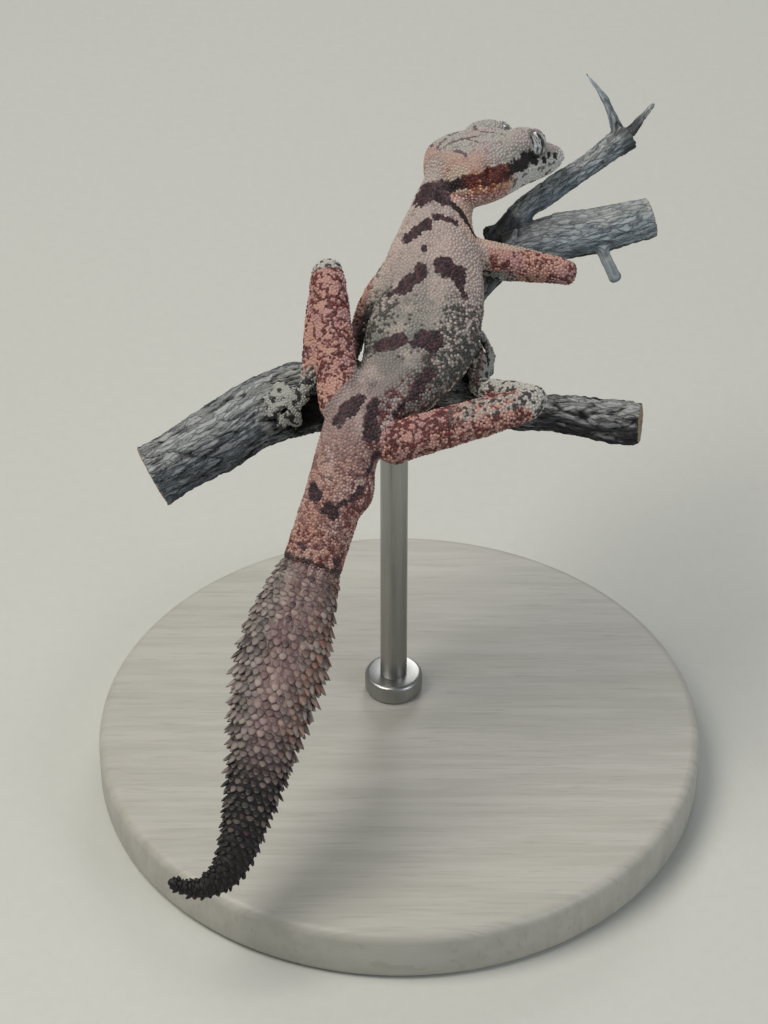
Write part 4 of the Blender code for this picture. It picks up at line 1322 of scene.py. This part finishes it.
# %% Eye material
def eye_material():
    """Glass display eye with a silver iris and a slit pupil."""
    material, add, shader = new_material("glass eye")
    across = add("part", add("places", "gaze"))
    above, out = across.node.outputs["Y"], across.node.outputs["Z"]
    streaks = add("noise", add("join", add("times", across, 7.0), above, out), 1.5, 3.0, 0.6)
    iris = add("mix", add("fade", streaks, 0.44, 0.54), "#2b2928", "#bcc0bd")
    iris = lay(add, iris, "#4a4744", add("fade", add("size", above), 0.5, 0.95))
    from_pupil = add("plus", add("power", across, 2.0), add("power", above, 2.0))
    iris = lay(add, iris, "#181616", add("fade", from_pupil, 0.85, 1.25))
    slit = ragged(add, add("size", across), add("sine", add("times", above, 11.0)), 0.035)
    iris = lay(add, iris, "#060606", add("fade", slit, 0.11, 0.07))
    set_node(shader, {"Base Color": iris, "Roughness": 0.28, "Coat Weight": 1.0,
                      "Coat Roughness": 0.03, "Coat IOR": 1.5})
    return material


EYE = eye_material()
print("eye painted")

# %% Dressing a piece
def face_out(item):
    """Turn the faces of a closed piece outwards."""
    work = bmesh.new()
    work.from_mesh(item.data)
    bmesh.ops.recalc_face_normals(work, faces=work.faces)
    work.to_mesh(item.data)
    work.free()


def smooth(item):
    item.data.polygons.foreach_set("use_smooth", [True] * len(item.data.polygons))


def dress(item, material, node_slot, *nodes):
    """Give a piece its material, smooth it, hang it under the root and hide the solids it replaces."""
    if material:
        item.data.materials.append(material)
    face_out(item)
    smooth(item)
    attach(item, "root")
    if nodes:
        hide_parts(*nodes)


print("dressing ready")

# %% Eyeballs
def ball(name, centre, radius, axis, level):
    """A ball whose points know their place across, above and out along its gaze."""
    axis = axis / np.linalg.norm(axis)
    above = level - axis * (level @ axis)
    above /= np.linalg.norm(above)
    across = np.cross(above, axis)
    c, s = circle(48)
    rings = []
    for turn in np.radians(np.arange(5, 180, 5)):
        ring = np.outer(c * math.sin(turn), across) + np.outer(s * math.sin(turn), above)
        rings.append(centre + (ring + axis * math.cos(turn)) * radius)
    verts, faces = tube(rings, centre + axis * radius, centre - axis * radius)
    item = new_piece(name, verts, [face[::-1] for face in faces])
    local = (verts - centre) / radius
    store(item, "gaze", np.stack([local @ across, local @ above, local @ axis], axis=1), "FLOAT_VECTOR")
    return item


for side, mirror in (("left", 1), ("right", -1)):
    gaze = (EYE_AXIS * (1, mirror, 1)) @ HEAD_AXES
    eye = ball("eye_" + side, mirrored(EYE_PLACE, mirror), EYE_RADIUS, gaze, np.array(head_up))
    dress(eye, EYE, "eye", "eye_" + side)
print("eyes set")

# %% Claws
CLAW_LENGTH = 0.42
CLAW_ROWS = ((0, 0.11), (0.35, 0.09), (0.7, 0.055), (0.92, 0.02))     # share of the length, radius


def claw(tip, direction, up):
    side = np.cross(direction, up)
    c, s = circle(8)
    rings = []
    for share, radius in CLAW_ROWS:
        lift = 0.10 + 0.12 * math.sin(share * 2.6) - 0.10 * share
        place = tip + direction * (CLAW_LENGTH * share - 0.08) + up * lift
        rings.append(oval(place, side, up, radius, radius, c, s))
    point = rings[-1].mean(axis=0) + direction * 0.03 - up * 0.03
    return tube(rings, tip - direction * 0.1 + up * 0.1, point)


# Horn is hard and smooth, so a claw catches a small highlight.
horn, add, shader = new_material("dark horn")
set_node(shader, {"Base Color": "#2b2422", "Roughness": 0.35})
claws = new_piece("claws", *join_forms([claw(*tip) for tip in toe_tips]))
dress(claws, horn, "skin_limb")
print("claws:", len(toe_tips))

# %% [markdown]
# ## Bark
#
# The twig is old and weathered: charcoal where the bark still holds, whitish where it has
# peeled, split lengthwise by fissures, with one hollow under the knee. The fissures and the
# hollow are painted near black as painted shade. The four lengths grow out of each other, so
# they are melted into one surface like the skin. Each point keeps its place along and round
# its branch, which lets fissures run with the grain.

# %% Perch forms
THORNS = (                # places along each, and the radius there
    (((23.6, 31.9, 7.7), 0.75), ((22.2, 33.5, 10.3), 0.42), ((20.4, 35.0, 12.3), 0.15)),
    (((24.2, 32.2, 7.5), 0.65), ((25.6, 33.1, 8.9), 0.40), ((26.6, 33.8, 9.9), 0.15)),
)
KNOB = (((12.6, 22.0, 2.6), 1.0), ((11.9, 22.7, 3.3), 0.95), ((11.2, 23.2, 3.9), 0.6))
STUB = (((21.2, 23.6, 2.6), 0.75), ((22.0, 21.4, 1.4), 0.60), ((22.9, 19.0, 0.6), 0.65))
SPUR = (((12.8, 20.6, 2.5), 0.50), ((13.5, 20.7, 3.7), 0.42), ((14.2, 21.5, 4.7), 0.22))
TWIG_FOOT, TWIG_END = (12.6, 22.4, 3.2), (24.9, 32.0, 7.2)
BARK_VOXEL = 0.15
SAW_CUT = 0.25           # how far inside its track each length stops
TWIG_REACH = 0.2         # the twig runs on into its thorns instead
MEETINGS = (((6.2, 7.9, -3.8), 3.0), ((12.6, 21.8, 2.2), 2.6))      # where lengths meet, and reach


def sawn_tube(track, start, end, sides=28, step=0.3):
    """A length of a branch with flat ends."""
    points, sizes, _, side, back = track.frames(np.arange(start, end, step), PERCH_UP)
    c, s = circle(sides)
    rings = [oval(points[k], side[k], back[k], sizes[k][0], sizes[k][0], c, s) for k in range(len(points))]
    return tube(rings, points[0], points[-1])


wood = []
for name, track in PERCH.items():
    wood.append(sawn_tube(track, SAW_CUT, track.length + (TWIG_REACH if name == "twig" else -SAW_CUT)))
for rows in THORNS + (KNOB, STUB, SPUR):
    track = round_track([point for point, _ in rows], [radius for _, radius in rows])
    wood.append(rounded_tube(track, 0.0, track.length, 16, 0.2, 2.0, PERCH_UP, (0.6, 1.0)))
bark = melt("bark", wood, BARK_VOXEL)
relax(bark, 0.5, 2)
points = get_points(bark)
soft = sum(near(points, place, reach) for place, reach in MEETINGS)
relax(bark, np.clip(soft, 0, 1) * 0.6, 22)
print("bark:", len(bark.data.polygons), "squares")

# %% The grain of the wood
BRANCH_GAP = 7.0         # keeps the patterns of two lengths apart
perch_line = {name: Line(track, PERCH_UP) for name, track in PERCH.items()}
LOWER, BOUGH = 0, 2      # numbers of two of the lengths in PERCH


def grain_of(points):
    """Place along and round the nearest branch, and which branch that is."""
    best = np.full(len(points), 1e9)
    along, turn = np.zeros(len(points)), np.zeros(len(points))
    which, radius = np.zeros(len(points), dtype=int), np.ones(len(points))
    for index, (name, line) in enumerate(perch_line.items()):
        run, angle, gap = line.find(points)
        size = PERCH[name].at(run)[:, 3]
        nearer = gap / size < best
        best[nearer] = (gap / size)[nearer]
        along[nearer], turn[nearer] = run[nearer], angle[nearer]
        which[nearer], radius[nearer] = index, size[nearer]
    return along, np.radians(turn), which, radius


def grain_space(stretch):
    """Places in which a pattern follows the grain, drawn out by the stretch."""
    lengthwise = along * stretch + which * BRANCH_GAP
    return np.stack([lengthwise, radius * np.cos(turn), radius * np.sin(turn)], axis=1)


points, normals = get_points(bark), get_normals(bark)
along, turn, which, radius = grain_of(points)
run = grain_space(0.22)
print("grain runs along", len(np.unique(which)), "branches")

# %% Fissures, lumps and the hollow
HOLLOW = (-4.1, 3.7, -2.4)
HOLLOW_DEPTH, HOLLOW_REACH = 1.7, 1.35
RIM_ASIDE, RIM_SWELL = (-2.3, 2.2), 0.28         # the two lips of the hollow
FISSURE, CHECK, CROSS_CRACK, LUMP = 0.20, 0.13, 0.08, 0.13      # depths and height in millimetres
ROUGHNESS = (1.0, 0.8, 0.55, 0.7)                # of the lower branch, the fork, the bough and the twig
END_ZONE, END_FACING = 0.6, 0.75                 # what counts as a sawn face

ridges = 1 - np.abs(wobble(run, 1.25, 11))
splits = np.clip(ridges - 0.74, 0, 1) / 0.26
checks = np.clip(1 - np.abs(wobble(run, 0.55, 12)) - 0.6, 0, 1) / 0.4
lumps = wobble(points, 6.0, 13)
cross = np.clip(1 - np.abs(wobble(grain_space(1.4), 1.9, 14)) * 4, 0, 1)
rough = np.choose(which, ROUGHNESS)
push = LUMP * lumps - (FISSURE * splits + CHECK * checks + CROSS_CRACK * cross) * rough
push += 0.06 * wobble(points, 0.8, 16) * rough
ends = (along < END_ZONE) | (along > np.array([track.length for track in PERCH.values()])[which] - END_ZONE)
open_end = (which == LOWER) | ((which == BOUGH) & (along > 4))
cut_face = ends & (np.abs(normals[:, 0]) > END_FACING) & open_end
push = np.where(cut_face, 0.03 * wobble(points, 0.6, 15), push)
push -= HOLLOW_DEPTH * near(points, HOLLOW, HOLLOW_REACH)
for aside in RIM_ASIDE:
    push += RIM_SWELL * near(points, np.array(HOLLOW) + (aside, 0.4, 0.2), 0.9)
set_points(bark, points + normals * push[:, None])
relax(bark, 0.25, 1)
bark_points = get_points(bark)
print("bark spans", np.round(np.ptp(bark_points, axis=0), 1), "mm")

# %% Fields on the bark
# Painted shade: how dark the fissures, the cross cracks and the hollow are painted.
deep = splits * rough * 0.8 + cross * 0.25 + near(points, HOLLOW, 1.9) * 1.8
knots = ((KNOB[1][0], 2.2), (TWIG_END, 2.2), (TWIG_FOOT, 1.8))
for name, values in (("place", bark_points), ("run", run), ("plate", grain_space(0.62))):
    store(bark, name, values, "FLOAT_VECTOR")
for name, values in {
    "deep": np.clip(deep, 0, 1.5),
    "knot": sum(near(bark_points, place, reach) for place, reach in knots),
    "sawn": cut_face,
    "bough": which >= BOUGH,
    "up": np.cos(turn),
}.items():
    store(bark, name, values)
set_points(bark, to_world(bark_points))
print("knots:", len(knots))

# %% Bark material
def bark_material():
    """Weathered grey bark on dead thorn wood: dry, so it is rough and takes no gloss."""
    material, add, shader = new_material("weathered bark")
    place, run, plate = (add("places", name) for name in ("place", "run", "plate"))
    up = add("field", "up")
    streak = add("noise", run, 2.7, 5.0, 0.7)
    patch = add("noise", place, 0.32, 3.0, 0.6)
    grit = add("noise", place, 4.5, 3.0, 0.7)
    streak_off = add("minus", streak, 0.5)
    bent = add("noise", plate, 1.6, 3.0).node.outputs["Color"]
    bent = add("ShaderNodeVectorMath", {"operation": "MULTIPLY_ADD", 0: bent, 1: (0.3, 0.6, 0.6), 2: run})
    crack = add("fade", add("rims", bent, 2.5), 0.12, 0.01)
    flake = add("part", add("cells", bent, 2.5).node.outputs["Color"])

    # Charcoal to the right of the animal, grey to the left, bluish on the bough and the twig.
    dark = add("mix", add("fade", streak, 0.40, 0.66), "#19191a", "#565557")
    grey = add("mix", add("fade", streak, 0.36, 0.64), "#33363a", "#7e858b")
    grey = lay(add, grey, "#4a3a3c", add("fade", patch, 0.30, 0.22))
    blue = add("mix", add("fade", streak, 0.36, 0.64), "#5b6469", "#a2adb3")
    colour = add("mix", add("fade", add("part", place), 0.0, -7.0), dark, grey)
    colour = lay(add, colour, blue, add("field", "bough"))

    # Paler on top as painted light, dark underneath as painted shade, with pale patches where the bark has
    # peeled.
    colour = lay(add, colour, "#a3a5a3", add("fade", ragged(add, up, streak_off, 1.5), 0.70, 1.0), 0.75)
    under = ragged(add, up, add("minus", patch, 0.5), 1.2)
    colour = lay(add, colour, "#202123", add("fade", under, -0.25, -0.6), 0.8)
    peeled = add("mix", grit, "#7d8081", "#b9bbb8")
    colour = lay(add, colour, peeled, add("fade", patch, 0.60, 0.66), 0.7)
    colour = lay(add, colour, "#b4b8b8", add("fade", flake, 0.62, 1.0), 0.30)
    colour = lay(add, colour, "#2a2d30", add("fade", flake, 0.40, 0.0), 0.40)
    # Painted shade along the fine cracks between the bark's flakes.
    colour = lay(add, colour, "#26292c", crack, 0.38)
    colour = lay(add, colour, "#232324", add("fade", grit, 0.60, 0.72), 0.7)
    knot = add("fade", add("plus", add("field", "knot"), streak_off), 0.30, 0.62)
    colour = lay(add, colour, add("mix", streak, "#121212", "#4a4c4e"), knot, 0.8)
    # Painted shade in the fissures, the cross cracks and the hollow.
    colour = lay(add, colour, "#0b0a0a", add("fade", add("field", "deep"), 0.30, 0.95))
    cut = add("mix", add("noise", place, 1.2, 4.0), "#84745f", "#a8987f")
    height = add("minus", ragged(add, streak, grit, 0.6), crack)
    set_node(shader, {"Base Color": lay(add, colour, cut, add("field", "sawn")), "Roughness": 0.88,
                      "Specular IOR Level": 0.3, "Normal": add("bump", 0.8, 0.00012, height)})
    return material


dress(bark, bark_material(), "bark", "perch_branch", "perch_fork", "perch_bough", "perch_twig")
print("bark dressed")

# %% [markdown]
# ## Stand
#
# The stand isn't part of the animal, so it stays quiet: a low turned disc of limed ash with
# soft edges, and a rod and collar of brushed steel. All three are turned shapes, made from a
# profile that spins round an axis.

# %% Turned shapes
def turned(name, profile, centre, sides=128):
    c, s = circle(sides)
    rings = [np.stack([centre[0] + r * c, centre[1] + r * s, np.full(sides, z)], axis=1)
             for r, z in profile if r > 0]
    verts, faces = tube(rings, (*centre, profile[0][1]), (*centre, profile[-1][1]))
    return new_piece(name, verts * MM, faces, world=False)


def rounded_profile(radius, low, high, edge, steps=5):
    turns = np.linspace(0, math.pi / 2, steps)
    bottom = [(radius - edge + edge * math.sin(t), low + edge - edge * math.cos(t)) for t in turns]
    top = [(radius - edge + edge * math.cos(t), high - edge + edge * math.sin(t)) for t in turns]
    return [(0, low), (radius * 0.5, low), *bottom, *top, (radius * 0.5, high), (0, high)]


print("a rounded profile has", len(rounded_profile(2, 0, 1, 0.1)), "points")

# %% Wood and steel
def limed_ash():
    """Limed ash, satin oil: straight grain from one side to the other, with pale pores."""
    material, add, shader = new_material("limed ash")
    bands = add("noise", add("stretch", add("object"), (60.0, 900.0, 300.0)), 1.0, 5.0, 0.6)
    pores = add("noise", add("stretch", add("object"), (250.0, 5200.0, 900.0)), 1.0)
    colour = add("mix", add("fade", bands, 0.35, 0.65), "#a4a299", "#aeaca4")
    colour = lay(add, colour, "#8d8a82", add("fade", pores, 0.58, 0.70), 0.35)
    set_node(shader, {"Base Color": colour, "Roughness": 0.48, "Normal": add("bump", 0.3, 0.00008, pores)})
    return material


def brushed_steel():
    """Stainless steel, brushed lengthwise, which draws its highlight out round the rod."""
    material, add, shader = new_material("brushed stainless steel")
    lines = add("noise", add("stretch", add("object"), (9000.0, 9000.0, 250.0)), 1.0)
    set_node(shader, {"Base Color": add("mix", lines, "#8f8f8d", "#a9a9a6"), "Metallic": 1.0,
                      "Roughness": add("range", lines, 0.26, 0.40)})
    return material


STEEL = brushed_steel()
print("wood and steel ready")

# %% Base, rod and collar
ROD_ALONG = 22.5         # where the rod meets the lower branch
BASE_RADIUS, BASE_HEIGHT = 27.0, 5.0
rod_top = PERCH["lower"].at(ROD_ALONG)[0][:3] + np.array(PELVIS)
rod_place = (rod_top[0], rod_top[1])
base = turned("base", rounded_profile(BASE_RADIUS, 0.0, BASE_HEIGHT, 0.9), (0, 0), 160)
dress(base, limed_ash(), "base_wood", "stand_base")
rod = turned("rod", rounded_profile(1.2, BASE_HEIGHT - 0.4, rod_top[2] - 0.6, 0.1), rod_place, 40)
dress(rod, STEEL, "rod_steel", "stand_rod")
collar = turned("collar", rounded_profile(2.6, BASE_HEIGHT, BASE_HEIGHT + 1.9, 0.4), rod_place, 64)
dress(collar, STEEL, "rod_steel", "stand_collar")
print("stand ready, rod", round(rod_top[2], 1), "mm high")

# %% [markdown]
# ## Into the frame
#
# The skin was shaped in millimetres from the pelvis. Its points move into the frame's metres
# now, and it takes the place of every solid of flesh.

# %% Skin into the frame
set_points(skin, to_world(skin_points))
dress(skin, None, "skin_body", *FLESH)
print("skin placed")

# %% [markdown]
# ## Granular scales
#
# A gecko's skin is covered with tiny domed grains that lie side by side and don't overlap.
# Painting them as a bump map alone would leave the outline bald, so each is a small dome of
# its own. Geometry Nodes scatters points that keep a set distance apart and puts a dome on
# each, turned along the skin's normal. The points carry the skin's fields to the domes, so
# that a dome has the colour of its root.

# %% One grain
GRAIN_SIDES = 6
GRAIN_ROWS = ((1.0, -0.22, 0.0), (0.70, 0.36, 0.75))     # radius, height, and how far up the dome it is


def grain():
    """A low dome, one unit in radius, whose rim is sunk below the skin."""
    c, s = circle(GRAIN_SIDES)
    rings = [np.stack([r * c, r * s, np.full(GRAIN_SIDES, height)], axis=1) for r, height, _ in GRAIN_ROWS]
    pairs = [(k, (k + 1) % GRAIN_SIDES) for k in range(GRAIN_SIDES)]
    faces = [(k, n, GRAIN_SIDES + n, GRAIN_SIDES + k) for k, n in pairs]
    faces += [(GRAIN_SIDES + k, GRAIN_SIDES + n, 2 * GRAIN_SIDES) for k, n in pairs]
    item = new_piece("grain", np.vstack([*rings, [(0, 0, 0.58)]]), faces, world=False)
    store(item, "rise", [*np.repeat([rise for _, _, rise in GRAIN_ROWS], GRAIN_SIDES), 1.0])
    smooth(item)
    return item


print("a grain has", 2 * GRAIN_SIDES, "faces")

# %% The tree that scatters grains
GRAINS_OFFERED = 6.0     # points that are tried on a square as wide as the spacing


def scatter_tree(bead):
    """A node tree that covers one zone of the skin with beads."""
    tree = bpy.data.node_groups.new("granular_scales", "GeometryNodeTree")
    for name, kind in (("Geometry", "Geometry"), ("Zone", "Int"), ("Spacing", "Float"), ("Radius", "Float")):
        tree.interface.new_socket(name, in_out="INPUT", socket_type="NodeSocket" + kind)
    tree.interface.new_socket("Geometry", in_out="OUTPUT", socket_type="NodeSocketGeometry")
    add = partial(add_node, tree)
    start = add("NodeGroupInput").node.outputs
    zone = add("GeometryNodeInputNamedAttribute", {"data_type": "INT", "Name": "zone"})
    chosen = add("FunctionNodeCompare", {"data_type": "INT", "operation": "EQUAL", 2: zone, 3: start["Zone"]})
    offered = add("times", add("power", start["Spacing"], -2.0), GRAINS_OFFERED)
    points = add("GeometryNodeDistributePointsOnFaces", {
        "distribute_method": "POISSON", "Mesh": start["Geometry"], "Selection": chosen,
        "Distance Min": start["Spacing"], "Density Max": offered, "Seed": 5})
    vary = add("FunctionNodeRandomValue", {"data_type": "FLOAT", 2: 0.86, 3: 1.14, "Seed": 9})
    radius = add("times", vary.node.outputs[1], start["Radius"])
    shape = add("GeometryNodeObjectInfo", {"Object": bead}).node.outputs["Geometry"]
    placed = add("GeometryNodeInstanceOnPoints", {
        "Points": points, "Instance": shape, "Rotation": points.node.outputs["Rotation"], "Scale": radius})
    solid = add("GeometryNodeRealizeInstances", {"Geometry": placed})
    painted = add("GeometryNodeSetMaterial", {"Geometry": solid, "Material": SKIN})
    add("NodeGroupOutput", {"Geometry": painted})
    return tree


print("grains offered per spacing:", GRAINS_OFFERED)

# %% Zones of the skin
ZONES = {                 # number, spacing and radius in millimetres
    "head": (0, 0.235, 0.142), "trunk": (1, 0.265, 0.160), "tail_base": (2, 0.225, 0.136),
    "limbs": (3, 0.250, 0.150), "feet": (4, 0.185, 0.112),
}


def zone_numbers(item, spot):
    vertex = read(item.data.loops, "vertex_index", kind=np.int32)[
        read(item.data.polygons, "loop_start", kind=np.int32)]
    along, limb = spot["along"][vertex], spot["limb"][vertex]
    zone = np.where(along > BREAK - 0.6, ZONES["tail_base"][0], -1)
    zone = np.where(along > VENT - 1, ZONES["trunk"][0], zone)
    on_limb = np.where(spot["left"][vertex] < 2.0, ZONES["feet"][0], ZONES["limbs"][0])
    zone = np.where(limb > 0.5, on_limb, zone)
    zone = np.where(spot["head"][vertex] > 0.5, ZONES["head"][0], zone)
    layer = item.data.attributes.new("zone", "INT", "FACE")
    layer.data.foreach_set("value", zone.astype(np.int32))


zone_numbers(skin, spot)
print("zones:", ", ".join(ZONES))

# %% A map for baking
PATCH = 0.003            # width of a scale's patch on the map


def wrap_of(places):
    """An unwrap of the animal: the body, the head and each limb as a strip."""
    spot = places_on(places)
    u, v = spot["along"] / 80, (spot["angle"] / 360 + 0.5) * 0.34
    limb = spot["limb"] > 0.5
    u = np.where(limb, 0.03 + spot["reach"] * 0.42 + 0.5 * (spot["which"] % 2), u)
    v = np.where(limb, 0.38 + (spot["turn"] / 360 + 0.5) * 0.16 + 0.2 * (spot["which"] // 2), v)
    head = spot["head"] > 0.5
    skull = spot["skull"]
    u = np.where(head, 0.05 - skull[:, 0] / 40, u)
    v = np.where(head, 0.78 + (np.arctan2(skull[:, 1], skull[:, 2]) / (2 * np.pi) + 0.5) * 0.2, v)
    return np.stack([u, v], axis=1)


def add_bake_map(item, local):
    """Each scale becomes a tiny patch at its root's place on the unwrap."""
    roots = read(item.data.attributes["place"].data, "vector", 3).astype(float)[::len(local)]
    wrap = np.repeat(wrap_of(roots), len(local), axis=0)
    patch = np.tile(np.asarray(local), (len(roots), 1)) * PATCH
    layer = item.data.uv_layers.new(name="OFBake")
    corners = read(item.data.loops, "vertex_index", kind=np.int32)
    layer.data.foreach_set("uv", (wrap + patch)[corners].astype(np.float32).ravel())


print("a scale's patch is", PATCH, "of the map's width")

# %% Cover the skin with grains
bead = grain()
bead_shape = get_points(bead)[:, :2] / 2
scatter = scatter_tree(bead)
inputs = [socket for socket in scatter.interface.items_tree if socket.in_out == "INPUT"]
sockets = {socket.name: socket.identifier for socket in inputs}
for name, (number, spacing, radius) in ZONES.items():
    coat = bpy.data.objects.new("scales_" + name, skin.data)
    bpy.context.scene.collection.objects.link(coat)
    modifier = coat.modifiers.new("scatter", "NODES")
    modifier.node_group = scatter
    modifier[sockets["Zone"]] = number
    modifier[sockets["Spacing"]] = spacing * MM
    modifier[sockets["Radius"]] = radius * MM
    bake_modifiers(coat)
    add_bake_map(coat, bead_shape)
    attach(coat, "root")
    print(name, len(coat.data.vertices) // len(bead_shape), "grains")
bpy.data.objects.remove(bead)

# %% [markdown]
# ## The plume's spines
#
# The tail's end carries rings of pointed scales that lie back towards the tip and stand off
# along both edges, which gives the species its name. Each ring is shifted by half a step
# against the last. The longest are on the edges, in every second ring, and the shortest at the
# plume's two ends. They follow the tail's line one by one, so they are placed by a loop and
# joined into one mesh.

# %% One spine
SPINE_SIDES = 6
SPINE_ROWS = (           # share of the length, half width and half thickness as shares of the width, rise
    (0.0, 0.48, 0.17, 0.0), (0.32, 0.56, 0.20, 0.35), (0.66, 0.46, 0.16, 0.7), (0.90, 0.22, 0.09, 0.95))
SPINE_SINK = 0.20        # share of the length that is below the skin
SPINE_CURVE = 0.10       # how much it curves up, as a share of the length


def spine_points(root, normal, way, length, width, lean):
    """A broad curved scale: rings of points that end in a tip."""
    side = np.cross(normal, way)
    up = normal * math.sin(lean) - way * math.cos(lean)
    c, s = circle(SPINE_SIDES)
    base = root - normal * SPINE_SINK * length
    rings = []
    for share, wide, thick, _ in SPINE_ROWS:
        centre = base + way * (length * share * math.sin(lean))
        centre = centre + normal * (length * (share * math.cos(lean) + SPINE_CURVE * share**2))
        ring = oval(centre, side, up, wide * width, thick * width, c, s)
        ring[1:3] += up * 0.05 * width
        rings.append(ring)
    tip = base + way * (length * math.sin(lean)) + normal * (length * (math.cos(lean) + 0.14))
    return np.vstack([*rings, [root - normal * 0.25], [tip]])


def spine_faces():
    faces = []
    last = (len(SPINE_ROWS) - 1) * SPINE_SIDES
    base, tip = last + SPINE_SIDES, last + SPINE_SIDES + 1
    pairs = [(k, (k + 1) % SPINE_SIDES) for k in range(SPINE_SIDES)]
    for a in range(0, last, SPINE_SIDES):
        faces += [(a + k, a + n, a + SPINE_SIDES + n, a + SPINE_SIDES + k) for k, n in pairs]
    for k, n in pairs:
        faces += [(n, k, base), (last + k, last + n, tip)]
    return faces


print("a spine has", len(spine_faces()), "faces")

# %% Rings of spines
SPINE_RING = 0.60        # millimetres from one ring of spines to the next
SPINE_GAP = 0.62         # millimetres from one spine to the next in a ring
TAPER = 12.0             # millimetres from the tip over which spines shrink
UNDER_SHARE = 0.8        # length of the spines under the tail


def growth_at(s):
    """Spines grow from the break towards the plume's middle, and shrink again to the tip."""
    return min(1.0, 0.42 + (BREAK - s) / 12) * (0.36 + 0.64 * float(smoothstep(3.0, 22.0, s)))


def grow_spines():
    rng = random.Random(21)
    verts, roots, tones = [], [], []
    ring = 0
    s = BREAK - 0.10
    while s > 0.45:
        size, tangent, side, back = (v[0] for v in BODY.frames(s)[1:])
        wide, tall = size[0], size[1]
        growth = growth_at(s)
        count = max(6, round(math.pi * (wide + tall) / SPINE_GAP))
        for k in range(count):
            turn = 2 * math.pi * (k + 0.5 * (ring % 2)) / count + rng.uniform(-0.3, 0.3) / count
            across, above = math.sin(turn), math.cos(turn)
            here = s + rng.uniform(-0.16, 0.16)
            root = BODY.at(here)[0][:3] + side * (wide * across) + back * (tall * above)
            normal = side * (across / wide) + back * (above / tall)
            normal /= np.linalg.norm(normal)
            place = skin.closest_point_on_mesh(Vector(to_world(root)))[1]
            root = np.array(place) / MM - np.array(PELVIS)
            edge = abs(across) ** 4
            length = 0.72 + 0.42 * edge * (0.1 + 1.2 * (ring % 2)) + rng.uniform(-0.10, 0.10)
            length *= growth * (UNDER_SHARE if above < -0.3 else 1.0)
            width = (0.84 - 0.06 * edge) * (0.66 + 0.34 * growth) * rng.uniform(0.82, 1.12)
            lean = math.radians(76 - 22 * edge + rng.uniform(-6, 6))
            root = root - normal * 0.05 * (1 - edge) * growth
            verts.append(spine_points(root, normal, -tangent, length, width, lean))
            roots.append(root)
            tones.append(rng.uniform(-1, 1) * min(1.0, s / TAPER))
        ring += 1
        s -= SPINE_RING * (0.72 + 0.28 * min(1, s / TAPER))
    return verts, np.array(roots), np.array(tones)


verts, roots, tones = grow_spines()
each = len(verts[0])
faces = [tuple(v + each * k for v in face) for k in range(len(verts)) for face in spine_faces()]
spines = new_piece("plume_spines", np.vstack(verts), faces)
print("spines:", len(verts))

# %% Fields and map of the spines
ACROSS = (0.5, 0.2, -0.2, -0.5, -0.2, 0.2)       # a ring's points on the patch
DOWN = (0.5, 0.2, -0.1, -0.4)                    # its rings
root_places = np.repeat(roots, each, axis=0)
paint_fields(spines, root_places, places_on(root_places))
rise = [*np.repeat([row[3] for row in SPINE_ROWS], SPINE_SIDES), 0.0, 1.0]
keel = [*np.tile(circle(SPINE_SIDES)[1], len(SPINE_ROWS)), 0.0, 1.0]
store(spines, "rise", np.tile(rise, len(verts)))
store(spines, "spine", np.ones(each * len(verts)))
store(spines, "tone", np.repeat(tones, each))
store(spines, "keel", np.tile(keel, len(verts)))
patch = [(x, y) for y in DOWN for x in ACROSS] + [(0, 0.5), (0, -0.5)]
add_bake_map(spines, patch)
dress(spines, SKIN, "skin_tail")
print("plume dressed")
